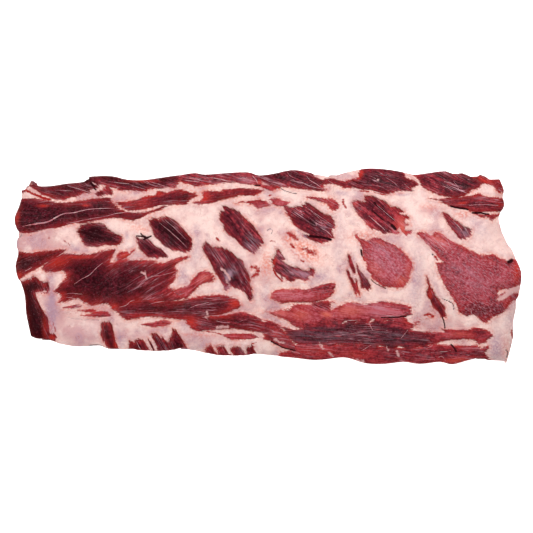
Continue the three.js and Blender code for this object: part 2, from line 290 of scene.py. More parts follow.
EDGE_BANDS = (
    muscle("strip_1", BAND, -14, [
        (29, 186), (28, 177), (60, 176), (84, 174), (92, 170), (98, 176), (100, 183), (99, 188),
        (95, 189.5), (92, 191), (91, 194.5), (85, 194), (80, 196), (72, 198), (67, 200.5), (56, 200),
        (49, 197), (42, 195), (36, 191),
    ], tone=0.12, streak=0.5, rim=0.5),
    muscle("corner_lobe", BAND, -35, [
        (20, 192), (17, 188), (24, 182), (29, 186), (27, 190), (24, 193),
    ], tone=0.5, rim=1.0, lies=0.6),
    muscle("strip_2", BAND, -15, [
        (97, 181), (95, 169), (112, 168), (130, 171), (160, 169), (182, 166), (182, 178), (179, 183),
        (178, 186), (175, 188), (168, 188), (163, 189), (151, 189.5), (146, 192), (134, 191), (121, 191),
        (118, 189), (112, 188), (107, 186), (102, 185.5), (98, 185),
    ], tone=0.13, streak=0.9, rim=0.5, rim_width=1.6),
    muscle("strip_2_root", BAND, -40, [
        (96, 193), (100, 191), (104, 190), (107, 186), (110, 187), (112, 189), (114, 193), (113, 196),
        (110, 195), (106, 196), (98, 196),
    ], streak=0.8, rim=0.4),
    muscle("strip_3", BAND, -11, [
        (181, 166), (200, 165), (230, 165), (260, 167), (262, 176), (262, 182), (261, 186), (258, 186),
        (252, 185), (245, 184.5), (238, 183.5), (230, 183), (222, 183.5), (215, 184.5), (206, 185),
        (200, 186.5), (195, 187), (190, 185), (183, 183), (180, 178),
    ], tone=0.42, streak=1.0, rim=0.4, rim_width=1.6),
    muscle("strip_4", BAND, -20, [
        (258, 178), (258, 168), (272, 163), (291, 160), (305, 162), (314, 168), (313, 175), (321, 179.5),
        (325, 179), (331, 178.5), (335, 180), (345, 182), (355, 183), (352, 188), (345, 189), (338, 186),
        (331, 185), (325, 185.5), (322, 188), (326, 190), (323, 192), (315, 191), (300, 189.5), (290, 188),
        (275, 187), (268, 185), (262, 182),
    ], tone=0.26, streak=1.0, rim=0.5, rim_width=1.6),
    muscle("strip_5", BAND, -19, [
        (345, 182), (351, 180), (357, 178), (358, 176), (360, 170), (362, 160), (385, 160), (404, 162),
        (406, 170), (405, 174.5), (406, 178), (412, 180), (416, 183), (418, 186), (414, 187.5), (410, 189),
        (413, 191), (405, 191.5), (396, 192), (393, 193), (386, 194.5), (380, 193.5), (372, 191.5),
        (362, 190), (352, 188), (345, 187),
    ], tone=0.3, streak=0.95, rim=0.4, rim_width=1.6),
    muscle("strip_6", BAND, -24, [
        (407, 171), (406, 163), (428, 164), (445, 162), (465, 164), (475, 170), (475, 178), (480, 180),
        (482, 184), (478, 188), (473, 190), (470, 192), (465, 195), (458, 198), (452, 198), (445, 197),
        (438, 196), (432, 193), (426, 190), (421, 187), (420, 184), (418, 180), (413, 176),
    ], tone=0.3, streak=1.15, rim=0.7, rim_width=1.4),
    muscle("strip_7", BAND, -32, [
        (475, 180), (475, 168), (486, 168), (500, 170), (511, 174), (513, 188), (513, 197), (503, 193),
        (498, 193), (495, 190), (491, 186), (487, 185), (483, 184), (479, 184),
    ], tone=0.32, rim=0.9, rim_width=3),
    muscle("right_strip", BAND, -4, [
        (428, 198.5), (440, 199.5), (447, 198), (460, 197), (470, 196), (478, 193.5), (482, 196),
        (490, 197), (498, 198), (514, 200), (514, 211), (500, 212), (490, 212), (480, 212), (476, 213),
        (470, 212), (465, 210), (458, 209), (450, 207), (445, 205), (438, 201),
    ], tone=0.38, rim=0.7, streak=0.85),
    muscle("right_flap", BAND, -20, [
        (472, 214), (480, 214.5), (486, 214.5), (498, 214), (511, 213), (510, 215), (497, 216.5),
        (494, 218), (492, 220.5), (490, 221.5), (488, 219), (486, 217.5), (479, 217),
    ], tone=0.55, rim=1.0, streak=0.3),
    muscle("left_band", BAND, 4, [
        (8, 199), (22, 198.5), (35, 198.5), (49, 200.6), (56, 202.3), (64, 203), (73, 202.3), (85, 200.6),
        (97, 198.5), (110, 198), (113, 202), (119.5, 208), (128, 212), (140, 213), (152, 211), (164, 206),
        (168, 207), (158, 211.5), (148, 215), (140, 219.5), (133, 221), (118, 218.5), (105, 219.7),
        (93, 222), (85, 223.4), (73, 224), (60, 228), (47, 229.7), (34, 233), (25, 233), (8, 229),
    ], tone=0.12, streak=0.1, rim=0.6),
    muscle("left_middle", BAND, 22, [
        (8, 253), (30, 253), (40, 252), (55, 250), (67, 250), (60, 256), (50, 262), (40, 268), (30, 273),
        (23, 278), (8, 282),
    ], tone=0.0, streak=0.1),
    muscle("low_tip", BAND, -24, [
        (269, 312.5), (275, 310), (290, 308.5), (293, 305), (300, 304), (310, 304), (311, 302), (320, 301),
        (330, 301), (334, 302), (331, 304), (330, 309), (334, 311), (338, 317), (338, 322), (318, 326),
        (308, 329), (300, 328), (292, 324), (287, 320), (281, 317), (275, 315),
    ], tone=0.72, rim=0.9, streak=0.45, soft=5.0, fray=2.0),
    muscle("low_top", BAND, -8, [
        (331, 311), (335, 309), (338, 306), (341, 304), (345, 302.5), (352, 302), (360, 303.5),
        (370, 302.5), (376, 301.5), (383, 301), (390, 302), (397, 303), (403, 304), (407, 305), (409, 308),
        (409, 311), (411, 314), (405, 317), (408, 321), (412, 324), (417, 319), (416, 323), (410, 327),
        (412, 331), (404, 331), (400, 324), (394, 326), (388, 320), (380, 324), (374, 319), (366, 325),
        (360, 320), (352, 325), (347, 320), (339, 325), (334, 319), (330, 316),
    ], tone=0.82, rim=0.5, streak=0.8, soft=3.0, fray=2.4),
    muscle("low_dark", BAND, -3, [
        (279, 325), (286, 326.5), (293, 329), (301, 328), (307, 322), (314, 324), (320, 318), (327, 322),
        (334, 318), (342, 323), (349, 317), (356, 322), (363, 317), (370, 322), (377, 316), (385, 321),
        (391, 316), (398, 323), (404, 319), (409, 329), (420, 331), (432, 332), (437, 338), (431, 343),
        (424, 350), (416, 346), (407, 351), (398, 346), (390, 351), (380, 345), (372, 349), (360, 344),
        (350, 348), (338, 343), (330, 348), (318, 344), (305, 346), (296, 344), (291, 341), (287, 335),
        (284, 330),
    ], tone=0.25, rim=0.2, streak=0.85, fray=2.6),
    muscle("low_bottom", BAND, -5, [
        (280, 353), (288, 351), (294, 345), (305, 342), (320, 344), (340, 344), (355, 343), (370, 344),
        (385, 346), (400, 347), (414, 347), (426, 345), (434, 342), (438, 350), (440, 358), (442, 370),
        (400, 371), (366, 371), (344, 368), (320, 368), (282, 364),
    ], tone=0.52, streak=0.6, rim_width=3.5, fray=2.2),
    muscle("low_band_right", BAND, -3, [
        (424, 333), (434, 331.5), (443, 332), (440, 328), (445, 329), (465, 329), (470, 328), (475, 327),
        (480, 328), (487, 330), (490, 333), (491, 336), (489, 338), (485, 341), (480, 343), (477, 344),
        (475, 341), (470, 339), (455, 339), (446, 340), (440, 341), (435, 343), (428, 343),
    ], tone=0.72, rim=0.9, streak=0.3, rim_width=3.0),
    muscle("low_band_foot", BAND, -3, [
        (430, 346), (440, 344), (448, 345), (460, 345), (473, 345), (475, 344), (478, 346), (480, 348),
        (483, 347), (487, 345), (488, 347), (486, 350), (485, 354), (490, 360), (489, 366), (480, 368),
        (452, 372), (432, 370),
    ], tone=0.52, streak=0.6, rim_width=3.0),
)

MIDDLE_BANDS = (
    muscle("upper_1", BAND, 8, [
        (116, 203), (124, 202.5), (130, 202), (142, 198), (149, 196), (155, 195.7), (158, 191.5),
        (167, 193), (173, 190.7), (180, 190), (186, 191.5), (193, 193), (197, 195), (195.5, 198),
        (191, 200.6), (187, 205), (180, 205), (165, 205.6), (147, 209), (130, 211.4), (123, 207),
    ], tone=0.26),
    muscle("upper_2", BAND, 6, [
        (193, 203), (200, 201.5), (202, 200), (203, 197), (203, 194), (206, 191.5), (215, 191.5),
        (222, 192), (225, 190), (232, 189.5), (240, 188.5), (250, 189), (258, 189.5), (265, 190.5),
        (262, 192), (258, 194), (254, 196), (240, 196), (236, 197.5), (230, 198.5), (218, 201.5),
        (212, 203.5), (206, 204.5), (198, 205),
    ], tone=0.32, rim=0.9),
    muscle("upper_3", BAND, 4, [
        (235, 204), (242, 201.8), (246, 203), (250, 201.5), (257, 200.5), (262, 200), (266, 201.5),
        (269, 205), (270, 207), (265, 207), (262, 208.5), (257, 209), (254, 206), (250, 204.5), (242, 203),
    ], tone=0.78, lies=0.5, soft=2.6),
    muscle("upper_4", BAND, -12, [
        (270, 199), (275, 198.5), (279, 199), (284, 201), (290, 202), (287, 205), (283, 207), (275, 206),
        (272, 203),
    ], tone=0.9, rim=0.3, lies=0.4, soft=2.6),
    muscle("upper_5", BAND, -28, [
        (305, 198), (314, 197), (322, 198.5), (328, 198.5), (333, 200), (337, 203), (339, 207), (336, 210),
        (333, 211), (329, 208), (327, 204), (320, 203), (314, 200),
    ], tone=0.72, lies=0.5, soft=2.6),
    muscle("link", BAND, -24, [
        (256, 181), (262, 185), (270, 186), (280, 187), (281, 188.5), (275, 190), (271, 191.5), (266, 190),
        (260, 187), (256, 186),
    ], tone=0.72, rim=1.0, lies=0.6, rim_width=4),
    muscle("broad_muscle", BAND, 30, [
        (55, 258), (60, 256), (63, 254), (67, 253.5), (83, 254.5), (90, 254), (97, 252.5), (104, 251),
        (110, 250), (117, 249), (115, 255), (112, 260), (114, 263), (122, 260), (135, 260), (150, 260),
        (163, 263), (168, 262), (172, 260), (178, 258), (184, 257), (189, 257), (188, 259), (182, 261),
        (176, 265), (178, 269), (177, 275), (175, 280), (172, 284), (170, 286), (176, 291), (184, 298),
        (176, 301), (158, 302), (145, 301), (132, 303), (124, 308), (119, 311), (113, 309), (112, 305),
        (104, 303.5), (98, 304), (92, 305), (86, 302), (80, 299.5), (72, 299.5), (68, 301), (60, 302),
        (62, 299), (60, 293), (56, 291), (62, 284), (67, 279), (68, 274), (64, 271), (57, 271.5), (52, 272),
        (44, 269), (48, 263),
    ], tone=0.13, streak=0.0, rim=0.95, rim_width=3.6, marble=0.05, coarse=0.12, soft=4.0),
    muscle("fold_tip", BAND, 20, [
        (116, 259), (118, 256), (122, 252), (128, 252), (130, 254), (133, 250.5), (136, 249.5), (133, 253),
        (129, 257), (125, 259), (121, 261),
    ], tone=0.62, rim=1.0, rim_width=4, streak=0.3),
    muscle("tongue", BAND, 30, [
        (168, 287), (176, 289), (182, 287), (190, 284), (193, 279), (197, 275), (200, 272), (204, 271),
        (209, 271), (213, 275), (215, 279), (212, 282), (207, 283), (202, 284), (198, 287), (194, 292),
        (190, 296), (187, 299), (180, 297), (175, 293),
    ], tone=0.74, rim=0.9, rim_width=4, streak=0.3, soft=3.6),
    muscle("spindle", BAND, 4, [
        (115, 309), (122, 305), (130, 301), (138, 299.5), (145, 298), (158, 300), (168, 300), (182, 300),
        (190, 298), (196, 296.5), (205, 295), (222, 294.5), (229, 296), (235, 298), (239, 301), (241, 305),
        (239, 308), (234, 309), (226, 313), (220, 314.5), (208, 316), (200, 319), (190, 320), (170, 318),
        (150, 316.5), (132, 319), (128, 319.5), (123, 317), (119, 313),
    ], tone=0.22, rim=0.95, rim_width=3.4, streak=0.45, soft=4.0),
    muscle("low_spindle", BAND, -12, [
        (186, 319), (194, 317), (208, 315.5), (218, 315.5), (228, 314.5), (235, 312.5), (242, 312),
        (248, 313), (255, 315), (260, 318), (263, 320.5), (268, 320), (273, 322), (278, 325), (282, 329),
        (286, 334), (290, 339), (295, 344), (298, 350), (292, 350.5), (283, 347.5), (277, 345), (268, 340),
        (262, 339), (265, 336), (262, 332), (255, 331.5), (245, 330), (230, 328.5), (217, 329.5),
        (208, 330), (200, 331), (193, 329), (189, 324),
    ], tone=0.3, rim=0.9, streak=0.7, rim_width=3.2, soft=3.4),
    muscle("low_thread_1", BAND, -1, [
        (222, 334.5), (226, 333.5), (234, 333), (242, 333), (250, 333.5), (255, 334.5), (258, 337),
        (252, 339), (244, 339.5), (234, 339), (228, 338.5), (224, 336),
    ], tone=0.86, lies=0.4, rim=0.9, rim_width=3, soft=2.6),
    muscle("low_thread_2", BAND, 5, [
        (141, 324), (146, 323), (152, 322.5), (157, 321), (163, 320), (169, 321), (172, 322), (170, 324),
        (163, 326), (155, 327), (149, 326), (143, 325),
    ], tone=0.78, lies=0.4, rim_width=3, soft=3),
    muscle("side_thread_1", BAND, 8, [
        (64, 308), (70, 306), (78, 304.5), (84, 305), (80, 307.5), (72, 308.5),
    ], tone=0.8, lies=0.3, rim=0.6, soft=3.2, rim_width=3),
    muscle("side_thread_2", BAND, -2, [
        (78, 310), (86, 309.5), (93, 309), (97, 310.5), (92, 312), (84, 311.5),
    ], tone=0.78, lies=0.3, rim=0.6, soft=3.2, rim_width=3),
    muscle("side_thread_3", BAND, 6, [
        (82, 315), (90, 314.5), (95, 312), (100, 311), (108, 311.5), (112, 315), (105, 317), (95, 316.5),
    ], tone=0.66, lies=0.4, rim=0.9, soft=2.8, rim_width=3),
    muscle("bar", BAND, 8, [
        (271, 296), (276, 290), (290, 289), (300, 289), (310, 288), (320, 285), (328, 283), (334, 283),
        (334, 290), (330, 296), (322, 300), (312, 302), (300, 302), (292, 302), (283, 303), (276, 300),
    ], tone=0.92, rim_width=3.5, streak=0.3, marble=0.5, soft=2.8),
)

EYES = (
    muscle("eye_left", EYE, -38, [
        (354, 236), (357, 234), (358, 238), (360, 238.5), (364, 240), (368, 240.5), (372, 238), (376, 238),
        (380, 239), (383, 240.5), (387, 242.5), (391, 244), (394, 245), (397, 247.5), (401, 250),
        (403, 253), (407, 257), (409, 260), (411, 264), (411, 267), (410, 270), (409, 274), (408, 278),
        (406, 282.5), (403, 286.5), (398, 286.5), (395, 287.5), (390, 287), (386, 286.5), (382, 286),
        (378, 283.5), (374, 280), (371, 277), (369, 273), (366, 270), (366, 265), (363, 257), (361, 250),
        (359, 243),
    ]),
    muscle("eye_right", EYE, -34, [
        (417, 232.5), (424, 233), (430, 236), (432, 233), (436, 232.5), (441, 235), (446, 239), (452, 242),
        (459, 245), (465, 249), (472, 252), (479, 255), (483, 255), (487, 254.5), (491, 254.5), (496, 257),
        (501, 259.5), (505, 261), (507, 263), (508, 261), (510, 259.5), (528, 262), (532, 286), (519, 285),
        (513, 287), (508, 289), (503, 289), (497, 291), (496, 296), (500, 293), (504, 292), (502, 295),
        (496, 299), (500, 300), (504, 298), (507, 296), (511, 294), (514, 293), (526, 295), (526, 302),
        (513, 300), (509, 303), (507, 306), (504, 310), (500, 313), (496, 315), (491, 317), (487, 320.5),
        (484, 322), (481, 321.5), (478, 319), (475, 316), (470, 314), (466, 316), (463, 314.5),
        (460, 313.5), (457, 311), (456, 307), (453, 301), (450, 296), (446, 290), (443, 285), (440, 279),
        (437, 272), (436, 268), (435, 263), (441, 262), (438, 259), (436, 256), (434, 253), (432, 251),
        (428, 247), (424, 243), (421, 239), (416, 235),
    ], tone=0.62, rim=0.8),
)

# Soft patches on the muscles: middle, half length and half width in pixels, turn in degrees, how much
# lighter, and how much redder
SHADES = (
    (45, 206, 6, 1.5, 0, 0.15, 0.8), (87, 205.5, 4, 1.6, 0, 0.15, 0.9), (18, 215, 3, 12, 0, 0.02, 0.8),
    (50, 197, 12, 3, -15, 0.06, 0.6), (21, 276, 5, 5, 0, 0.08, 0.8), (60, 262, 15, 7, 20, 0.1, 0.75),
    (78, 257, 26, 2.6, 2, 0.08, 0.7), (120, 276, 12, 12, 0, 0.03, 0.0), (92, 292, 22, 8, 10, -0.06, 0.0),
    (63, 297, 6, 6, 0, 0.05, 0.8), (113, 307, 8, 5, 0, 0.08, 0.9), (128, 256, 9, 4, 10, 0.12, 0.9),
    (181, 260, 9, 3, 12, 0.15, 0.9), (156, 280, 22, 18, 0, 0.16, 0.15), (172, 294, 12, 6, 0, 0.1, 0.4),
    (205, 278, 9, 6, 20, 0.1, 0.6), (159, 193.5, 5, 3, 0, 0.1, 1.0), (140, 204, 15, 5, 8, 0.06, 0.45),
    (184, 197, 10, 6, 0, -0.14, 0.0), (150, 197, 12, 2, 14, 0.1, 0.8), (204, 198, 8, 6, 20, 0.12, 0.9),
    (224, 198.5, 14, 2.5, 8, -0.2, 0.0), (186, 185, 3, 2, 0, 0.1, 1.0), (247, 180, 9, 4, -8, 0.2, 0.0),
    (260, 183, 3, 3, 0, 0.15, 0.8), (142, 181.5, 14, 1.6, 0, 0.1, 0.9), (464, 184, 8, 7, -20, -0.14, 0.0),
    (360, 175, 2.5, 6, -30, 0.1, 0.9), (417, 190, 6, 2, -10, 0.12, 0.9), (498, 205, 6, 5, 0, 0.05, 0.4),
    (460, 204, 7, 1.6, 11, 0.1, 0.8), (485, 181, 11, 4, -20, 0.1, 0.8), (167, 307, 20, 4.5, 2, -0.16, 0.0),
    (236, 303, 7, 6, 0, 0.12, 0.9), (190, 322, 9, 7, -10, 0.12, 0.9), (150, 316, 24, 3, 0, 0.06, 0.6),
    (222, 321, 15, 5, -8, -0.16, 0.0), (278, 334, 14, 7, -38, 0.14, 0.5),
    (372, 209, 12, 7, -41, -0.14, 0.0), (354, 204, 3, 3, 0, 0.1, 0.8), (366, 225, 7, 2.6, -48, 0.15, 0.9),
    (402, 226, 8, 12, 0, 0.28, 0.85), (273, 264, 2, 7, -20, 0.1, 1.0), (428, 297, 3, 12, -20, 0.12, 0.8),
    (46, 328, 3, 14, 0, 0.12, 0.5), (53, 337, 4, 4, 0, 0.2, 0.9), (46, 285, 3, 4, 0, 0.1, 0.4),
    (117, 344, 3, 7, 0, 0.1, 0.9), (280, 313, 12, 4, 0, 0.3, 0.5), (300, 314, 10, 8, 0, 0.06, 0.6),
    (321, 305, 10, 4, 0, -0.15, 0.0), (326, 314, 6, 3, -10, 0.1, 0.9), (350, 310, 16, 7, 0, 0.12, 0.55),
    (382, 309, 18, 6, -4, 0.04, 0.1), (408, 320, 6, 5, 0, 0.1, 0.8), (356, 325, 18, 5, 0, -0.12, 0.0),
    (392, 337, 20, 6, 0, -0.1, 0.0), (300, 335, 14, 8, 0, -0.08, 0.0), (318, 350, 26, 6, 0, 0.06, 0.5),
    (355, 354, 20, 6, 0, 0.06, 0.5), (395, 352, 22, 6, 0, -0.08, 0.0), (460, 333, 14, 5, 0, 0.06, 0.5),
    (482, 333, 8, 5, 0, -0.2, 0.1), (460, 360, 18, 3, 0, 0.12, 0.9), (285, 296, 9, 5, 0, 0.06, 0.0),
    (322, 291, 10, 7, 8, -0.3, 0.2), (364, 243, 7, 4, -20, -0.16, 0.6), (378, 243, 12, 2.4, -24, 0.05, 0.5),
    (384, 256, 16, 10, -35, 0.06, 0.0), (372, 270, 8, 12, 40, 0.12, 0.4), (402, 282, 9, 6, 20, 0.06, 0.75),
    (408, 272, 4, 12, 0, 0.05, 0.6), (515, 272, 4, 16, 0, -0.1, 0.9), (436, 239, 14, 6, -25, 0.18, 0.55),
    (470, 250, 22, 4, -28, 0.06, 0.6), (470, 275, 24, 14, -30, 0.05, 0.0),
    (480, 309, 20, 8, -8, -0.24, 0.15), (450, 300, 5, 16, 28, 0.0, 0.5), (507, 303, 6, 8, 0, 0.0, 0.6),
)

# Soft patches by kind: middle, half length and half width in pixels, turn in degrees, strength. Thin, grey and
# flushed ones lie on the fat, streaked and veiled ones on the muscles. The thin and grey ones also paint
# shade: the darker left and lower fat, and lavender shadows beside ridges.
PATCHES = {
    # Thin patches on the left and lower fat are painted shade as well as thinner fat
    "thin_and_shade": (
        (30, 241, 30, 14, 0, 1.0), (75, 330, 50, 16, -5, 0.7), (130, 200, 60, 8, 5, 0.3),
        (66, 245, 22, 9, 0, 0.5), (195, 338, 60, 10, -4, 0.35), (265, 268, 14, 40, 10, 0.45),
        (180, 213, 40, 6, 6, 0.3), (430, 212, 24, 9, -10, 0.4), (500, 232, 14, 30, 0, 0.6),
        (452, 325, 40, 7, 0, 0.4), (235, 304, 40, 12, 0, 0.2), (52, 308, 7, 34, 0, 0.9),
    ),
    "grey": (
        (195, 338, 60, 10, -4, 0.35), (85, 332, 34, 14, 0, 0.3), (33, 243, 20, 8, 0, 0.25),
        (53, 308, 5, 34, 0, 1.5), (121, 337, 5, 12, 10, 0.7), (197, 250, 8, 20, -6, 0.55),
        (197, 231, 4, 7, 0, 0.6), (184, 274, 7, 12, 0, 0.6), (232, 277, 7, 12, 25, 0.9),
        (258, 248, 6, 8, 0, 0.6), (86, 195, 8, 2.4, 8, 0.8), (92, 190, 5, 3, 0, 0.7),
        (140, 192.5, 14, 1.6, 0, 0.7), (342, 193.5, 8, 3, 0, 0.7), (400, 193.5, 10, 1.6, 0, 0.7),
        (266, 282, 4, 22, 0, 0.4), (305, 262, 16, 5, -38, 0.5), (320, 277, 9, 8, 0, 0.75),
        (339, 245, 6, 52, 0, 0.4), (332, 306, 5, 4, 0, 0.8), (364, 276, 8, 3, -50, 0.7),
        (436, 290, 4, 18, 30, 0.6), (414, 282, 7, 40, -4, 0.6), (400, 237, 18, 4, 0, 0.4),
        (475, 226, 8, 16, 30, 0.55), (462, 216, 12, 4, -30, 0.5), (495, 347, 10, 16, 0, 0.95),
        (508, 320, 8, 16, 0, 0.5), (12, 240, 10, 6, 0, 0.5), (76, 247, 5, 3, 10, 0.9),
        (126, 209.5, 4.5, 1.6, 0, 0.9), (127, 237, 3, 5, 0, 0.6), (147, 238, 8, 6, 0, 0.5),
        (214, 346, 16, 3, 0, 0.5), (285, 327, 4, 8, 30, 0.5),
    ),
    "flush": (
        (305, 251, 18, 10, -30, 0.95), (291, 238, 6, 8, -45, 0.95), (364, 236, 22, 7, 0, 0.65),
        (366, 266, 4, 12, 40, 0.6), (122, 255, 9, 4, 20, 0.9), (140, 228, 12, 5, 0, 0.6),
        (462, 215, 10, 4, 0, 0.8), (428, 207, 8, 5, 0, 0.5), (310, 198, 7, 2.4, 5, 0.8),
        (240, 203, 8, 2, 5, 0.7), (430, 314, 8, 4, 0, 0.7), (505, 350, 5, 14, 10, 0.5),
        (255, 271, 5, 6, 0, 0.6), (267, 263, 7, 14, 0, 0.8), (170, 265, 10, 4, 0, 0.5),
        (90, 308, 26, 8, 0, 0.5), (200, 334, 26, 3, -3, 0.5), (262, 311, 12, 3, 0, 0.5),
        (413, 325, 7, 8, 0, 0.6),
    ),
    "veil": (
        (384, 257, 18, 12, -35, 0.4), (470, 276, 30, 16, -30, 0.25), (228, 277, 10, 5, 55, 0.85),
        (228, 288, 5, 3, 0, 0.7), (300, 275, 14, 4, -10, 0.7), (286, 262, 8, 3, -45, 0.4),
        (326, 232, 8, 5, -45, 0.5), (254, 244, 8, 6, -45, 0.5), (460, 230, 14, 5, -44, 0.5),
        (362, 277, 8, 3, -60, 0.5), (247, 180, 9, 3, -8, 0.4), (316, 335, 34, 8, 0, 0.22),
        (382, 309, 16, 6, -4, 0.3), (393, 337, 18, 6, 0, 0.2), (124, 210, 5, 2, 10, 0.6),
    ),
    "streak": (
        (156, 280, 24, 20, 0, 0.9), (118, 280, 12, 18, 0, 0.25), (434, 242, 14, 8, -30, 0.8),
        (450, 186, 10, 6, 0, 0.5),
    ),
}

# Strokes laid over everything, by kind: width in pixels, strength, and their line in the photograph
STROKES = {
    "red": (
        (1.5, 1.0, [(27, 190.5), (35, 194.5), (44, 198), (52, 200)]),
        (1.4, 0.8, [(50.5, 238)]),
        (1.2, 0.6, [(32.4, 235.5)]),
        (1.6, 0.6, [(66, 241), (71, 245)]),
        (2.0, 0.9, [(288, 233), (292, 236), (297, 240)]),
        (1.6, 0.8, [(291, 244), (294, 248)]),
        (3.0, 0.8, [(304, 249), (308, 251), (313, 253)]),
        (1.2, 0.7, [(301, 260), (304, 262)]),
        (1.0, 0.8, [(271, 241), (275, 242)]),
        (1.2, 0.9, [(217, 238), (220, 241)]),
        (0.9, 0.9, [(269.5, 196), (271, 195.5)]),
        (1.3, 0.9, [(342.5, 200), (343, 204), (345, 208)]),
        (1.0, 0.9, [(273, 268), (277, 276), (282, 281)]),
        (2.4, 0.8, [(252, 267), (258, 269), (257, 274), (253, 276)]),
        (1.4, 0.9, [(424, 315), (428, 313.5), (432, 316)]),
        (1.2, 0.9, [(433, 256), (436, 260)]),
        (1.3, 0.9, [(362, 256), (364, 260)]),
        (1.2, 0.9, [(355, 236), (359, 241)]),
        (0.8, 0.8, [(359, 191), (368, 192.3)]),
        (0.8, 0.8, [(374, 193.5), (387, 195.5)]),
        (0.8, 0.8, [(207, 331), (215, 332), (222, 334)]),
        (1.4, 0.8, [(510, 330), (512, 337)]),
        (1.0, 0.7, [(251, 343), (256, 342)]),
        (1.0, 0.6, [(54, 322), (56, 328), (56, 332)]),
    ),
    "pale": (
        (1.4, 0.9, [(28, 187.5), (33, 190.5), (40, 194)]),
        (1.3, 0.9, [(143, 272), (146, 274)]),
        (1.0, 0.8, [(146, 271), (147.5, 278)]),
        (1.0, 0.9, [(93, 183), (97, 184.5)]),
        (1.2, 0.9, [(406, 175.5), (411, 177.5), (416, 181)]),
        (1.0, 0.9, [(207, 311), (208, 314)]),
        (0.9, 0.8, [(206, 316), (208, 319)]),
        (1.6, 0.9, [(218, 327), (223, 326.3), (228, 326.5)]),
        (1.4, 0.8, [(275, 339), (280, 342), (284, 342)]),
        (1.6, 0.8, [(256, 332.5), (259, 335), (262, 337)]),
        (1.4, 0.9, [(396, 351), (398, 356)]),
        (1.0, 0.8, [(386, 346), (388, 350)]),
        (1.6, 0.7, [(320, 343), (323, 348)]),
        (1.4, 0.7, [(328, 352), (332, 355)]),
        (2.0, 0.8, [(351, 359), (358, 360), (363, 361)]),
        (2.4, 0.9, [(497, 299), (504, 295), (510, 290), (517, 288)]),
        (1.6, 0.8, [(118, 251), (116, 256), (118, 260)]),
        # A painted glint on the muscle
        (1.0, 0.7, [(376, 180), (378, 180.5)]),
        (1.6, 0.8, [(222, 269), (227, 273), (230, 279)]),
        (1.2, 0.7, [(226, 280), (230, 286)]),
        (0.9, 0.8, [(37, 292.5), (44, 291.8), (48, 291)]),
    ),
    # Dark strokes: dark meat, and painted shade in the cracks and pockets along outlines
    "dark": (
        (1.3, 0.9, [(92, 184), (95, 186)]),
        (0.9, 0.8, [(95, 188), (97, 190)]),
        (0.7, 1.0, [(142, 233.4), (144, 236), (147, 237)]),
        (0.8, 1.0, [(145, 240), (149, 237.5), (152, 236)]),
        (0.7, 1.0, [(138, 236.5), (144, 237), (148, 238.5)]),
        (0.7, 0.9, [(255, 185.5), (260, 185.5)]),
        (0.6, 0.6, [(281, 189), (287, 192), (296, 194)]),
        (0.5, 0.5, [(267, 231), (270, 229), (272, 231), (271, 234)]),
        (0.9, 0.9, [(450, 207), (458, 208.7), (466, 210)]),
        (0.9, 0.9, [(471, 213.5), (480, 213.8), (487, 214.5)]),
        (1.2, 1.0, [(310, 236), (318, 237.5), (325, 238.5), (330, 240)]),
        (0.8, 1.0, [(374, 203), (384, 212), (393, 220)]),
        (0.7, 0.9, [(372, 211), (383, 221)]),
        (1.6, 1.0, [(391, 226), (394, 229)]),
        (0.9, 0.9, [(360, 250), (361.5, 255)]),
        (0.5, 0.8, [(370, 279.5), (378, 285), (385, 288)]),
        (0.5, 0.8, [(441, 299), (447, 301), (451, 304), (452.5, 309)]),
        (0.7, 0.9, [(441, 317), (443, 322), (444, 328)]),
        (1.0, 0.9, [(431, 254.5)]),
        (2.4, 0.7, [(507, 262), (510, 260.5)]),
        (0.7, 0.8, [(271, 341), (277, 344), (283, 347), (295, 350)]),
        (1.6, 0.35, [(302, 320), (304, 327), (306, 336)]),
        (0.6, 0.9, [(380, 317), (392, 317), (405, 316)]),
        (0.8, 0.9, [(450, 344), (453, 347.5), (455, 351)]),
        (0.6, 0.7, [(505, 349), (507, 352), (506, 357)]),
        (0.5, 0.7, [(90, 345.3), (99, 345), (104, 346.5)]),
        (0.5, 0.4, [(65, 316), (80, 319), (100, 320)]),
    ),
    "grey": (
        (1.6, 0.8, [(297, 231), (301, 235), (305, 237)]),
        (1.6, 0.7, [(20, 233), (22, 235)]),
        (0.9, 0.7, [(267, 231), (270, 229)]),
        (0.9, 0.7, [(289, 249), (297, 255)]),
        (1.6, 0.8, [(479, 350), (482, 351)]),
    ),
}
# How many of its widths a stroke reaches
STROKE_REACH = 2.2

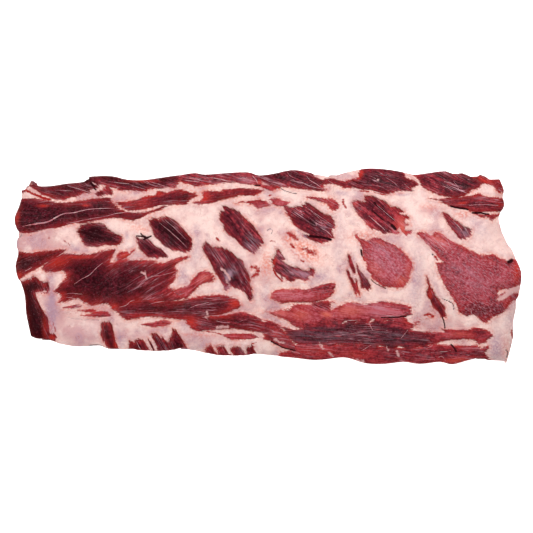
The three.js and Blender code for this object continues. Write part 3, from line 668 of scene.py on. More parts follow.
# Thin strands of fat and sinew that lie on the meat: their line in pixels, with the width at each point
# as it looks with its soft edges, and the share of that width that is the strand itself
STRAND_SHARE = 0.75
STRANDS = (
    [(118, 208.5, 0.6), (97, 209, 1.0), (85, 210.6, 1.0), (76, 213, 1.2), (66, 214, 1.2), (60, 216.4, 1.6),
     (50, 222, 2.0), (39, 224, 2.2), (30, 225.5, 1.2), (24, 227, 0.5)],
    [(140, 212, 0.5), (119.5, 213.5, 0.8), (105, 217, 0.6), (93, 219, 0.7), (80.5, 221.4, 0.7),
     (68, 224, 0.4)],
    [(68, 186.5, 0.3), (80, 189.5, 0.6), (92, 193.5, 0.4)],
    [(56, 190.5, 0.3), (66, 191, 0.5), (75, 191.5, 0.3)],
    [(97, 185, 0.3), (99, 187.5, 0.7), (101, 190, 0.3)],
    [(103, 186, 0.3), (105, 188, 0.7), (107, 190, 0.3)],
    [(23, 281, 0.6), (29, 278.6, 1.0), (36, 277, 0.5)],
    [(27, 271, 0.4), (30, 269.5, 0.7), (34, 267.5, 0.4)],
    [(111, 182, 0.3), (122, 183.5, 0.6), (130, 184, 0.3)],
    [(130, 185, 0.3), (140, 188, 0.6), (147, 190, 0.4)],
    [(150, 182.5, 0.3), (157, 184, 0.6), (163, 186, 0.6), (168, 188, 0.4)],
    [(182, 178, 0.3), (190, 178.5, 0.7), (203, 179, 0.3)],
    [(181, 180, 0.3), (190, 181.3, 0.6), (200, 182, 0.3)],
    [(207, 178, 0.3), (215, 178.5, 0.9), (222, 180, 1.0), (228, 181.5, 0.9), (236, 181.5, 0.4)],
    [(240, 177, 0.3), (246, 179, 0.8), (253, 181, 0.4)],
    [(252, 176, 0.4), (256, 180, 1.0), (258, 184, 0.6)],
    [(261, 178, 0.3), (270, 182, 0.6), (280, 184, 0.3)],
    [(287, 173, 0.3), (291, 177, 0.6), (296, 179, 0.3)],
    [(290, 181, 0.3), (300, 182.5, 0.7), (306, 185, 0.7), (315, 188, 0.7), (326, 190, 0.3)],
    [(306, 176, 0.3), (310, 181, 0.7), (317, 185, 0.8), (322, 189, 0.4)],
    [(328, 181, 0.3), (334, 185, 0.5)],
    [(369, 176, 0.3), (375, 179, 0.5)],
    [(385, 178, 0.3), (392, 182, 0.6), (398, 188, 0.3)],
    [(362, 185, 0.3), (375, 186, 0.5), (383, 188, 0.3)],
    [(403, 184, 0.3), (409, 189, 0.5)],
    [(443, 182, 0.4), (449, 183, 0.7), (452, 185, 0.4)],
    [(452, 181, 0.3), (456, 186, 0.7), (458, 190, 0.4)],
    [(440, 186, 0.3), (446, 188, 0.6), (452, 192, 0.3)],
    [(468, 206, 0.4), (480, 205, 0.7), (490, 205.5, 0.7), (497, 206, 0.4)],
    [(268, 200, 0.3), (271, 204, 0.6), (273, 206, 0.3)],
    [(160, 223, 0.3), (170, 231, 0.6), (180, 240, 0.6), (188, 248, 0.3)],
    [(166, 221, 0.3), (176, 229, 0.5), (187, 240, 0.3)],
    [(305, 207, 0.3), (318, 216, 0.7), (330, 224, 0.4)],
    [(311, 212, 0.3), (318, 218, 0.5), (325, 226, 0.3)],
    [(320, 228, 0.4), (327, 232, 0.9), (332, 237, 0.5)],
    [(376, 205, 0.3), (386, 214, 0.8), (395, 221.5, 0.4)],
    [(368, 216, 0.4), (376, 223, 1.3), (384, 230, 0.6)],
    [(452, 221, 0.3), (460, 230, 0.8), (464, 238, 0.4)],
    [(456, 221, 0.3), (464, 229, 0.7), (468, 236, 0.4)],
    [(440, 235, 0.4), (446, 241, 1.0), (449, 248, 0.5)],
    [(432, 238, 0.3), (439, 246, 0.8), (446, 253, 0.3)],
    [(76, 284, 0.3), (83, 279, 0.7), (91, 275, 0.8), (97, 269, 0.8), (104, 263, 0.4)],
    [(139, 288, 0.3), (142, 283, 0.6), (147, 279, 0.7), (155, 276, 0.7), (163, 275, 0.6), (178, 271, 0.3)],
    [(68, 297, 0.3), (75, 298, 0.8), (82, 300, 0.8), (88, 304, 0.7), (92, 307, 0.3)],
    [(66, 294, 0.3), (74, 293, 0.6), (84, 294, 0.3)],
    [(120, 307, 0.4), (127, 305, 0.8), (131, 301.5, 0.7), (136, 300, 0.4)],
    [(150, 304, 0.3), (158, 302, 0.7), (165, 301, 0.3)],
    [(190, 308, 0.3), (197, 305, 0.7), (203, 303.5, 0.7), (210, 302, 0.3)],
    [(212, 315.5, 0.4), (222, 315, 1.0), (228, 314, 0.4)],
    [(216, 320.5, 0.4), (224, 322, 1.0), (230, 322.5, 0.3)],
    [(240, 321, 0.3), (244, 319.5, 0.7), (248, 318.5, 0.3)],
    [(240, 324.5, 0.3), (250, 324.5, 0.7), (256, 325, 0.3)],
    [(265, 332.5, 0.3), (270, 332, 0.5)],
    [(289, 350, 0.3), (295, 352, 0.6), (300, 353, 0.3)],
    [(368, 322, 0.4), (370, 326, 0.9), (372, 330, 0.4)],
    [(350, 333, 0.3), (356, 332.3, 0.6), (362, 332, 0.3)],
    [(361, 350, 0.3), (365, 348, 0.6), (370, 345, 0.3)],
    [(385, 316, 0.3), (400, 315, 0.6), (408, 311, 0.3)],
    [(340, 319, 0.3), (350, 320, 0.6), (360, 319, 0.3)],
    [(400, 338, 0.3), (404, 333, 0.5), (407, 329, 0.3)],
    [(425, 348, 0.3), (430, 346, 0.6), (432, 344, 0.3)],
    [(437, 357, 0.3), (441, 356, 0.6), (445, 360, 0.3)],
    [(430, 352, 0.3), (445, 351, 0.5), (450, 350, 0.3)],
    [(470, 314, 0.4), (469.5, 311, 0.8), (469, 308, 0.3)],
    [(137, 341, 0.4), (141, 350, 0.9)],
    [(146, 341, 0.4), (152, 350, 0.9)],
)


def from_photo(points):
    """Pixels of the photograph as millimetres on the rack, before the rack is centred."""
    points = np.asarray(points, float)
    return (points - PHOTO_MIDDLE) * (PIXEL, -PIXEL)


def tint(red, green, blue):
    """A colour picked as the screen shows it, 0 to 255, as the linear values that shaders take."""
    shown = np.array((red, green, blue)) / 255
    linear = np.where(shown <= 0.04045, shown / 12.92, ((shown + 0.055) / 1.055) ** 2.4)
    return tuple(float(value) for value in linear)


def colour(name, description, shown):
    return bpy.props.FloatVectorProperty(
        name=name, description=description, subtype="COLOR", size=3, min=0, max=1, default=tint(*shown)
    )


def length(name, description, millimetres):
    return bpy.props.FloatProperty(
        name=name, description=description, default=millimetres * MM, min=0, unit="LENGTH", precision=5
    )


class RackFatSettings(bpy.types.PropertyGroup):
    """The fat cover and what shows through it"""

    cream: colour("Cream", "Thick clean fat", (232, 200, 192))
    # Bright: whiter lumps of fat, partly painted highlights on them
    bright: colour("Bright", "Small lumps of the whitest fat", (236, 210, 202))
    # Pink: thin fat with meat below, and also painted shade on the darker left and lower fat
    pink: colour("Pink", "Thin fat with meat below", (202, 154, 152))
    # Grey: thin skin over bone, and also painted shade: lavender shadows beside ridges and the darker left and
    # lower fat
    grey: colour("Grey", "Fat and skin over bone", (166, 130, 146))
    # Crease: painted shade in the fine creases of the fat
    crease_shade: colour("Crease", "Fine creases in the fat", (176, 124, 118))
    blood: colour("Blood", "Fat stained by meat", (150, 30, 28))
    flush: colour("Flush", "Fat with fine red threads", (212, 112, 90))
    lump: length("Lumps", "Height of the fat's soft lumps", 0.8)
    window_depth: length("Window depth", "How deep the windows of muscle lie below the fat", 1.9)
    muscle_rise: length("Muscle rise", "How high the muscles on the fat stand over it", 1.3)


class RackMeatSettings(bpy.types.PropertyGroup):
    """The muscles"""

    # Dark: deepest muscle, and also the painted shade of the dark strokes
    dark: colour("Dark", "Deepest muscle", (40, 4, 10))
    wine: colour("Wine", "Muscle on the cut side", (84, 18, 31))
    red: colour("Red", "Freshly cut muscle", (148, 44, 53))
    rose: colour("Rose", "Pale marbled muscle", (178, 84, 96))
    rim: colour("Rim", "Thin muscle along an outline", (184, 46, 34))
    # Streak: fat between the fibres, and also painted highlights on wet fibres and the painted glints
    streak: colour("Streak", "Fat between the fibres", (200, 148, 158))
    groove: length("Grooves", "Depth of the grooves between bundles of fibres", 0.4)
    fibre: length("Fibres", "Height of single fibres", 0.16)


class RackBoneSettings(bpy.types.PropertyGroup):
    """The ribs and the silver skin on the underside"""

    ivory: colour("Ivory", "Hard shell of the bone", (214, 190, 166))
    marrow: colour("Marrow", "Spongy inside of the bone", (136, 44, 40))
    skin: colour("Skin", "Silver skin over the bones", (196, 152, 148))
    marrow_depth: length("Marrow depth", "How far the marrow lies behind the sawn shell", 0.4)


class RackStageSettings(bpy.types.PropertyGroup):
    """Light and camera"""

    lens: bpy.props.FloatProperty(
        name="Lens", description="Focal length in millimetres", default=200, min=20
    )
    key_power: bpy.props.FloatProperty(
        name="Key light", description="Power of the larger light", default=30, min=0, unit="POWER"
    )
    fill_power: bpy.props.FloatProperty(
        name="Fill light", description="Power of the light across from it", default=19, min=0, unit="POWER"
    )
    sky: bpy.props.FloatProperty(
        name="Sky", description="Strength of the even light from all around", default=0.12, min=0
    )


def lattice(column, row, seed):
    """Repeatable random values, 0 to 1, on whole-numbered points."""
    mixed = (column * 374761393 + row * 668265263 + seed * 974634777) & 0xFFFFFFFF
    mixed = ((mixed ^ (mixed >> 13)) * 1274126177) & 0xFFFFFFFF
    return ((mixed ^ (mixed >> 16)) & 0xFFFF) / 0xFFFF


def noise(x, y, seed):
    """Smooth noise, -1 to 1, with lumps about one unit across."""
    column = np.floor(x).astype(np.int64)
    row = np.floor(y).astype(np.int64)
    across = x - column
    up = y - row
    across = across * across * (3 - 2 * across)
    up = up * up * (3 - 2 * up)
    near = lattice(column, row, seed) * (1 - across) + lattice(column + 1, row, seed) * across
    far = lattice(column, row + 1, seed) * (1 - across) + lattice(column + 1, row + 1, seed) * across
    return 2 * (near * (1 - up) + far * up) - 1


def cloud(x, y, size, seed, layers=3):
    """Layered noise, about -1 to 1, whose largest lumps are as wide as size."""
    total = np.zeros_like(x)
    weight = 1.0
    sum_of_weights = 0.0
    for layer in range(layers):
        total += weight * noise(x / size, y / size, seed + layer)
        sum_of_weights += weight
        weight *= 0.55
        size *= 0.5
    return total / sum_of_weights


def veins(x, y, seed, thickness):
    """Thin winding lines, 0 to 1, where smooth noise crosses zero."""
    return np.clip(1 - np.abs(noise(x, y, seed)) / thickness, 0, 1)


def ease(t):
    t = np.clip(t, 0, 1)
    return t * t * (3 - 2 * t)


def smooth_line(points, pieces=5, closed=False):
    """A smooth line through given points."""
    points = np.asarray(points, float)
    if closed:
        before, after = points[-1:], points[:2]
    else:
        before, after = 2 * points[:1] - points[1:2], 2 * points[-1:] - points[-2:-1]
    chain = np.concatenate([before, points, after])
    t = (np.arange(pieces) / pieces)[:, None]
    spans = []
    for a, b, c, d in zip(chain[:-3], chain[1:-2], chain[2:-1], chain[3:]):
        bend = 2 * a - 5 * b + 4 * c - d
        spans.append(b + 0.5 * t * ((c - a) + t * (bend + t * (3 * (b - c) + d - a))))
    line = np.concatenate(spans)
    return line if closed else np.concatenate([line, points[-1:]])


def at_share(line, share):
    """Points of a line at shares of its length, 0 to 1."""
    steps = np.linalg.norm(np.diff(line, axis=0), axis=1)
    run = np.concatenate([[0], np.cumsum(steps)])
    run /= run[-1]
    return np.stack([np.interp(share, run, line[:, axis]) for axis in (0, 1)], axis=-1)


def unit(vectors):
    return vectors / np.maximum(np.linalg.norm(vectors, axis=1), 1e-6)[:, None]


def nearest(points, line):
    """Distance from each point to a line, and the line's nearest point."""
    gaps = np.full(len(points), np.inf)
    feet = np.zeros_like(points)
    for start, end in zip(line[:-1], line[1:]):
        span = end - start
        share = np.clip((points - start) @ span / max(span @ span, 1e-12), 0, 1)
        feet_here = start + share[:, None] * span
        gap = np.hypot(*(points - feet_here).T)
        closer = gap < gaps
        gaps[closer] = gap[closer]
        feet[closer] = feet_here[closer]
    return gaps, feet


def is_inside(points, ring):
    inside = np.zeros(len(points), bool)
    x, y = points.T
    for (ax, ay), (bx, by) in zip(ring, np.roll(ring, -1, axis=0)):
        if ay != by:
            inside ^= ((ay > y) != (by > y)) & (x < (bx - ax) * (y - ay) / (by - ay) + ax)
    return inside


def looped(ring):
    return np.concatenate([ring, ring[:1]])


MODEL_EDGES = (TOP_EDGE, RIGHT_EDGE, BOTTOM_EDGE, LEFT_EDGE)
MODEL_OUTLINE = np.concatenate([smooth_line(edge) for edge in MODEL_EDGES])
CENTRING = -(MODEL_OUTLINE.min(0) + MODEL_OUTLINE.max(0)) / 2
TOP_LINE, BOTTOM_LINE, LEFT_LINE, RIGHT_LINE = (
    smooth_line(from_photo(edge), 3) for edge in (TOP_PIXELS, BOTTOM_PIXELS, LEFT_PIXELS, RIGHT_PIXELS)
)
OUTLINE = np.concatenate([TOP_LINE[:-1], RIGHT_LINE[:-1], BOTTOM_LINE[:0:-1], LEFT_LINE[:0:-1]])
RACK_LENGTH = np.linalg.norm(np.diff(TOP_LINE, axis=0), axis=1).sum()
RACK_WIDTH = 2 * HALF_WIDTH[1]
MUSCLES = WINDOWS + EDGE_BANDS + MIDDLE_BANDS + EYES
RINGS = [smooth_line(from_photo(one["outline"]), 4, closed=True) for one in MUSCLES]


def footprint(u, v):
    """Points of the footprint at u along the rack and v from its +Y edge to its -Y edge, both 0 to 1."""
    u, v = np.broadcast_arrays(u, v)
    side_u, side_v = u[..., None], v[..., None]
    across = at_share(TOP_LINE, u) * (1 - side_v) + at_share(BOTTOM_LINE, u) * side_v
    along = at_share(LEFT_LINE, v) * (1 - side_u) + at_share(RIGHT_LINE, v) * side_u
    upper = TOP_LINE[0] * (1 - side_u) + TOP_LINE[-1] * side_u
    lower = BOTTOM_LINE[0] * (1 - side_u) + BOTTOM_LINE[-1] * side_u
    return across + along - upper * (1 - side_v) - lower * side_v


def along_rack(values, x):
    """A value that runs smoothly from the left end over the middle to the right end."""
    left, middle, right = values
    t = x / HALF_LENGTH
    return middle + (right - left) / 2 * t + ((left + right) / 2 - middle) * t * t


def arch(x, y):
    t = (y - along_rack(OFF_CENTRE, x)) / along_rack(HALF_WIDTH, x)
    return ARCH_HEIGHT * np.maximum(0, 1 - t * t) ** ARCH_POWER


def rib_centre(index, y):
    share = (y + RIB_Y) / (2 * RIB_Y)
    return RIB_BOTTOM_X[index] + (RIB_TOP_X[index] - RIB_BOTTOM_X[index]) * share


def from_rib(x, y):
    """Distance along the rack to the nearest rib's centre."""
    return np.min([np.abs(x - rib_centre(index, y)) for index in range(len(RIB_TOP_X))], axis=0)


def crown(points):
    """Height of the upper side, without its rim, windows and muscles."""
    x, y = points.T
    ridge = RIDGE_HEIGHT * np.exp(-((from_rib(x, y) / RIDGE_SPREAD) ** 2))
    thinning = 1 - END_THINNING * (x / HALF_LENGTH) ** 4
    lump = bpy.context.scene.rack_fat.lump / MM
    return arch(x, y) + BONE_THICKNESS + COVER * thinning + ridge + lump * cloud(x, y, 34, 11)


def belly(points, depth):
    """Height of the meat's underside, at a depth inside the outline."""
    rise = BELLY_RISE * np.clip(1 - depth / BELLY_REACH, 0, 1) ** 2
    return arch(*points.T) + BONE_PROUD + rise


def to_outline(points):
    """For flat points, their depth inside the rack's outline, its nearest points, and the way out."""
    gaps, feet = nearest(points, looped(OUTLINE))
    inside = is_inside(points, OUTLINE)
    outward = unit((feet - points) * np.where(inside, 1, -1)[:, None])
    return np.where(inside, gaps, -gaps), feet, outward


def lay(points, lift, depth, feet, outward):
    """Lays flat points onto the upper side, lifted off it. What reaches past the outline folds down
    over the rim and onto the wall below."""
    flat = np.where((depth > 0)[:, None], points, feet)
    turn = np.clip((TURN_REACH - depth) / TURN_REACH, 0, 1)
    up = np.sqrt(1 - turn**2)
    fall = RIM_FALL * np.clip(1 - depth / RIM_REACH, 0, 1) ** 2
    height = crown(flat) - fall - TURN_DROP * (1 - up) + np.minimum(depth, 0)
    sideways = turn * (1 - 0.6 * turn) * lift
    return np.column_stack([flat + outward * sideways[:, None], height + up * lift])


def muscle_depths(points):
    """How deep each flat point lies inside each muscle, whose ends are frayed along their fibres."""
    depths = np.full((len(MUSCLES), len(points)), -FAR)
    for index, (one, ring) in enumerate(zip(MUSCLES, RINGS)):
        reach = FAR + one["fray"]
        close = np.all((points > ring.min(0) - reach) & (points < ring.max(0) + reach), axis=1)
        if not close.any():
            continue
        here = points[close]
        turn = axes_at(one["grain"])
        along, across = (here @ turn).T
        fray = 0.75 * noise(across / 0.9, along / 9, 100 + index)
        fray += 0.75 * noise(across / 2.4, along / 22, 200 + index)
        wander = np.column_stack([cloud(*here.T, 4, 300 + index, 2), cloud(*here.T, 4, 400 + index, 2)])
        here = here + one["fray"] * fray[:, None] * turn[:, 0] + 0.4 * wander
        gaps, feet = nearest(here, looped(ring))
        at_end = np.abs(unit(here - feet) @ turn[:, 0]) * np.exp(-gaps / 3)
        gaps = gaps * (1 - one["split"] * at_end)
        depths[index, close] = np.maximum(np.where(is_inside(here, ring), gaps, -gaps), -FAR)
    return depths


def axes_at(degrees):
    """Columns: the direction at an angle and the one across it."""
    angle = math.radians(degrees)
    return np.array([[math.cos(angle), -math.sin(angle)], [math.sin(angle), math.cos(angle)]])


def muscle_relief(depths):
    """Height of muscles over the fat and of windows below it, with a soft lip of fat round each."""
    fat = bpy.context.scene.rack_fat
    raised = np.zeros(depths.shape[1])
    sunk = np.zeros(depths.shape[1])
    for one, depth in zip(MUSCLES, depths):
        swell = one["swell"] * (1 - np.exp(-np.maximum(depth, 0) / 5))
        if one["lies"] < 0:
            sunk = np.minimum(sunk, (fat.window_depth / MM * one["lies"] + swell) * ease((depth + 0.7) / 1.5))
            raised = np.maximum(raised, 0.4 * np.exp(-(((depth + 2.0) / 1.3) ** 2)))
        else:
            rise = fat.muscle_rise / MM * one["lies"] * ease((depth + 0.6) / 2.4)
            raised = np.maximum(raised, rise + swell)
    return raised + sunk


def wavering(points, amount, size, seed):
    """Flat points moved about a little, so that what is drawn through them wavers."""
    return points + amount * np.column_stack([cloud(*points.T, size, seed), cloud(*points.T, size, seed + 10)])


def draw_stroke(shares, points, width, strength, line):
    """Raises each point's share to what one stroke gives it."""
    line = from_photo(line)
    width = width * PIXEL
    reach = STROKE_REACH * width
    close = np.all((points > line.min(0) - reach) & (points < line.max(0) + reach), axis=1)
    if not close.any():
        return
    if len(line) == 1:
        gaps = np.hypot(*(points[close] - line[0]).T)
    else:
        gaps, _ = nearest(points[close], smooth_line(line, 4))
    shares[close] = np.maximum(shares[close], strength * np.exp(-((gaps / width) ** 2)))


def stroke_marks(points):
    """How strongly each kind of stroke marks each point."""
    wavy = wavering(points, 0.7, 5, 31)
    marks = {kind: np.zeros(len(points)) for kind in STROKES}
    for kind, strokes in STROKES.items():
        for stroke in strokes:
            draw_stroke(marks[kind], wavy, *stroke)
    return marks


def patch(points, x, y, half_length, half_width, turn):
    """A soft oval patch: 1 in its middle, 0 far outside."""
    along, across = ((points - from_photo((x, y))) @ axes_at(turn)).T / PIXEL
    return np.exp(-((along / half_length) ** 2) - (across / half_width) ** 2)


def shade_marks(points):
    """Change of tone and redness from the soft patches on the muscles."""
    lighter = np.zeros(len(points))
    redder = np.zeros(len(points))
    for *oval, tone, redness in SHADES:
        share = patch(points, *oval)
        lighter += tone * share
        redder = np.maximum(redder, redness * share)
    return lighter, redder


def patch_marks(points):
    """How strongly each kind of patch marks each point."""
    wavy = wavering(points, 3.5, 14, 32)
    return {
        kind: np.maximum.reduce([strength * patch(wavy, *oval) for *oval, strength in patches])
        for kind, patches in PATCHES.items()
    }


def fat_grain(points, lean):
    """Fine lumps and creases of fat, which fade out where muscle is."""
    x, y = points.T
    creases = veins(x / 15 + noise(x / 9, y / 9, 83), y / 11, 84, 0.06)
    return (0.18 * cloud(x, y, 6, 81) + 0.35 * cloud(x, y, 20, 85) - 0.25 * creases) * (1 - lean)


def strata(feet, drop):
    """What a cut wall shows at a depth below the rim: its share of muscle, its tone and its redness."""
    x, y = feet.T
    layers = cloud(x + y, 3.2 * drop, 16, 61) + 0.7 * noise((x + y) / 5, drop / 2.4, 62)
    tone = 0.28 + 0.16 * cloud(x, y + drop, 20, 63)
    return ease(0.62 + 1.1 * layers), tone, 0.45 * ease(cloud(x, y + 2 * drop, 12, 64) + 0.3)


PAINT_KEYS = ("tone", "streak", "marble", "soft", "rim", "rim_width", "skin")


def dress(points, depths, rack_depth, feet):
    """Height over the crown and the paint layers at flat points, the same for every piece that shows
    there. Points outside the rack's outline lie on its walls."""
    x, y = points.T
    best = depths.max(0)
    weights = np.exp((depths - best) / SEAM)
    weights /= weights.sum(0)
    own = {key: np.array([one[key] for one in MUSCLES]) @ weights for key in PAINT_KEYS}
    marks = stroke_marks(points)
    patches = patch_marks(points)
    lighter, redder = shade_marks(points)
    lean = ease((best + 0.5 * own["soft"]) / own["soft"])
    wall = ease((-rack_depth - 1.5) / 3) * ease((-0.5 - best) / 2)
    wall_lean, wall_tone, wall_red = strata(feet, -rack_depth)
    lean = lean + (wall_lean - lean) * wall
    inside, outside = np.maximum(np.minimum(best, rack_depth + 1), 0), np.minimum(best, 0)
    patchy = ease(0.55 + cloud(x, y, 9, 71))
    rim = own["rim"] * np.exp(-inside / own["rim_width"]) * (0.45 + 0.55 * patchy)
    flush = own["rim"] * np.exp(-((outside / 2.4) ** 2)) * (0.3 + 0.7 * patchy) * (best > -FAR)
    skin = own["skin"] * np.exp(-(((outside + 2.2) / 2.8) ** 2)) * ease(0.6 + cloud(x, y, 12, 75))
    # Grey from the patches, partly painted shade, and from the thin skin round the windows
    bare_grey = np.maximum(patches["grey"], skin) * (1 - lean)
    layers = {
        "lean": lean,
        "tone": (own["tone"] + lighter) * (1 - wall) + wall_tone * wall + 0.07 * cloud(x, y, 14, 72),
        "red": np.maximum.reduce([marks["red"], np.maximum(rim, redder) * np.sqrt(lean), wall_red * wall]),
        "flush": np.maximum(patches["flush"], flush),
        "grey": np.maximum(marks["grey"], bare_grey) + patches["veil"] * lean,
        "thin_and_shade": patches["thin_and_shade"] + 0.25 * cloud(x, y, 40, 76),
        "pale": marks["pale"],
        "dark": marks["dark"],
        "streak": own["streak"] * (0.4 + 0.6 * ease(0.6 + cloud(x, y, 10, 74))) + patches["streak"],
        "marble": own["marble"],
    }
    height = muscle_relief(depths) + fat_grain(points, lean) + 0.25 * marks["pale"] - 0.9 * marks["dark"]
    return height, layers


def flat_grid(columns, rows):
    """A new flat grid's mesh, with its vertices' columns and rows counted from a corner."""
    sheet = bmesh.new()
    bmesh.ops.create_grid(sheet, x_segments=columns, y_segments=rows, size=0.5)
    mesh = bpy.data.meshes.new("sheet")
    sheet.to_mesh(mesh)
    sheet.free()
    places = np.zeros(len(mesh.vertices) * 3)
    mesh.vertices.foreach_get("co", places)
    column, row = np.rint((places.reshape(-1, 3)[:, :2] + 0.5) * (columns, rows)).astype(int).T
    return mesh, column, row


def set_places(mesh, millimetres):
    places = np.array(millimetres, float)
    places[:, :2] += CENTRING
    mesh.vertices.foreach_set("co", (places * MM).ravel())
    mesh.update()


def set_layers(mesh, layers, grain):
    """Stores the paint layers, and the coordinates along and across the fibres as a UV map."""
    for name, values in layers.items():
        layer = mesh.attributes.new(name, "FLOAT", "POINT")
        layer.data.foreach_set("value", np.asarray(values, np.float32))
    corner = np.zeros(len(mesh.loops), int)
    mesh.loops.foreach_get("vertex_index", corner)
    uv = mesh.uv_layers.new(name="grain")
    uv.data.foreach_set("uv", (grain[corner] * MM).ravel())


def trim(mesh, keep=None, merge=None, turn=None):
    """Deletes vertices that aren't kept, merges doubles, turns faces by an operator, and smooths them."""
    sheet = bmesh.new()
    sheet.from_mesh(mesh)
    sheet.verts.ensure_lookup_table()
    if keep is not None and not keep.all():
        gone = [sheet.verts[index] for index in np.flatnonzero(~keep)]
        bmesh.ops.delete(sheet, geom=gone, context="VERTS")
    if merge:
        bmesh.ops.remove_doubles(sheet, verts=sheet.verts, dist=merge)
    if turn:
        turn(sheet, faces=sheet.faces)
    for face in sheet.faces:
        face.smooth = True
    sheet.to_mesh(mesh)
    sheet.free()


def add_piece(name, mesh, material, node):
    """Puts a finished mesh into the scene as a piece that stands for a node of the model."""
    mesh.name = name
    mesh.materials.clear()
    mesh.materials.append(material)
    piece = bpy.data.objects.new(name, mesh)
    bpy.context.scene.collection.objects.link(piece)
    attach(piece, "root")
    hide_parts(node)
    return piece


def join(name, meshes):
    """One mesh from several, with their attributes."""
    parts = [bpy.data.objects.new(name, mesh) for mesh in meshes]
    for part in parts:
        bpy.context.scene.collection.objects.link(part)
    with bpy.context.temp_override(active_object=parts[0], selected_editable_objects=parts):
        bpy.ops.object.join()
    joined = parts[0].data
    bpy.data.objects.remove(parts[0])
    return joined


class Paint:
    """A material and a short way to add its nodes."""

    def __init__(self, name, roughness, shine, softness):
        self.material = bpy.data.materials.new(name)
        self.material.use_nodes = True
        self.tree = self.material.node_tree
        self.shader = self.tree.nodes["Principled BSDF"]
        self.shader.inputs["Roughness"].default_value = roughness
        self.shader.inputs["IOR"].default_value = 1.4
        self.shader.inputs["Specular IOR Level"].default_value = shine
        self.shader.inputs["Subsurface Weight"].default_value = softness
        self.shader.inputs["Subsurface Radius"].default_value = (1.0, 0.35, 0.25)
        self.shader.inputs["Subsurface Scale"].default_value = 0.0012

    def node(self, kind, result, inputs, **settings):
        made = self.tree.nodes.new("ShaderNode" + kind)
        for key, value in settings.items():
            setattr(made, key, value)
        for key, value in inputs.items():
            if isinstance(value, bpy.types.NodeSocket):
                self.tree.links.new(value, made.inputs[key])
            else:
                made.inputs[key].default_value = value
        return made.outputs[result]

    def attribute(self, name):
        return self.node("Attribute", "Fac", {}, attribute_name=name)

    def places(self):
        return self.node("TexCoord", "Object", {})

    def fibres(self, along, across):
        """Coordinates that run with a muscle's fibres."""
        uv = self.node("UVMap", "UV", {}, uv_map="grain")
        return self.node("Mapping", "Vector", {"Vector": uv, "Scale": (along, across, 1)})

    def noise(self, vector, scale, detail=2.0, distortion=0.0):
        inputs = {"Vector": vector, "Scale": scale, "Detail": detail, "Distortion": distortion}
        return self.node("TexNoise", "Fac", inputs)

    def span(self, value, low, high, start=0.0, end=1.0):
        """Value from low to high as start to end, eased at both."""
        inputs = {"Value": value, "From Min": low, "From Max": high, "To Min": start, "To Max": end}
        return self.node("MapRange", "Result", inputs, interpolation_type="SMOOTHSTEP")

    def math(self, operation, first, second):
        return self.node("Math", "Value", {0: first, 1: second}, operation=operation)

    def times(self, first, second):
        return self.math("MULTIPLY", first, second)

    def plus(self, first, second):
        return self.math("ADD", first, second)

    def line(self, value, width):
        """1 in thin lines where noise passes its middle, 0 elsewhere."""
        away = self.node("Math", "Value", {0: self.plus(value, -0.5)}, operation="ABSOLUTE")
        return self.span(away, 0.0, width, 1.0, 0.0)

    def mix(self, share, first, second):
        ends = {6: first, 7: second}
        for key, value in ends.items():
            if not isinstance(value, bpy.types.NodeSocket):
                ends[key] = (*value, 1)
        return self.node("Mix", 2, {0: share, **ends}, data_type="RGBA")

    def colour(self, socket):
        self.tree.links.new(socket, self.shader.inputs["Base Color"])

    def bump(self, height, distance, strength=1.0):
        inputs = {"Height": height, "Distance": distance, "Strength": strength}
        self.tree.links.new(self.node("Bump", "Normal", inputs), self.shader.inputs["Normal"])


def fat_paint(paint, fat):
    """Cream fat where thick, pink and grey where thin and in painted shade, fine creases in painted shade."""
    where = paint.places()
    broad = paint.noise(where, 45, 3)
    middling = paint.noise(where, 150, 4, 0.4)
    fine = paint.noise(where, 520, 3)
    # Thin fat, and painted shade from the thin patches, turn the cream pink
    thin_and_shade = paint.plus(paint.attribute("thin_and_shade"), paint.span(broad, 0.35, 0.65, -0.2, 0.5))
    pale = paint.mix(paint.span(thin_and_shade, 0, 1), tuple(fat.cream), tuple(fat.pink))
    pale = paint.mix(paint.span(middling, 0.48, 0.68, 0, 0.45), pale, tuple(fat.pink))
    # Whiter lumps of fat, partly painted highlights
    pale = paint.mix(paint.span(paint.noise(where, 110, 4), 0.52, 0.7, 0, 0.6), pale, tuple(fat.bright))
    # Grey: skin over bone, and painted shade where the grey patches lie
    grey = paint.plus(paint.attribute("grey"), paint.span(broad, 0.54, 0.64, 0, 0.35))
    grey = paint.times(grey, paint.span(fine, 0.3, 0.62, 0.45, 1))
    pale = paint.mix(grey, pale, tuple(fat.grey))
    # Fine crease lines darkened with painted shade
    crease_shade_mask = paint.span(paint.noise(where, 70, 2), 0.45, 0.6)
    crease_shade = paint.times(paint.line(paint.noise(where, 60, 4, 0.8), 0.01), crease_shade_mask)
    pale = paint.mix(paint.times(crease_shade, 0.55), pale, tuple(fat.crease_shade))
    crease_shade = paint.line(paint.noise(where, 190, 3, 0.5), 0.016)
    pale = paint.mix(paint.times(crease_shade, 0.35), pale, tuple(fat.crease_shade))
    flush = paint.times(paint.attribute("flush"), paint.span(fine, 0.35, 0.62, 0.1, 1))
    pale = paint.mix(flush, pale, tuple(fat.flush))
    vein = paint.times(paint.line(paint.noise(where, 120, 3, 1.2), 0.012), paint.span(broad, 0.52, 0.62))
    pale = paint.mix(paint.times(vein, 0.5), pale, tuple(fat.blood))
    stain = paint.plus(paint.attribute("red"), paint.span(fine, 0.3, 0.7, -0.2, 0.2))
    return paint.mix(paint.span(stain, 0.2, 0.8), pale, tuple(fat.blood))


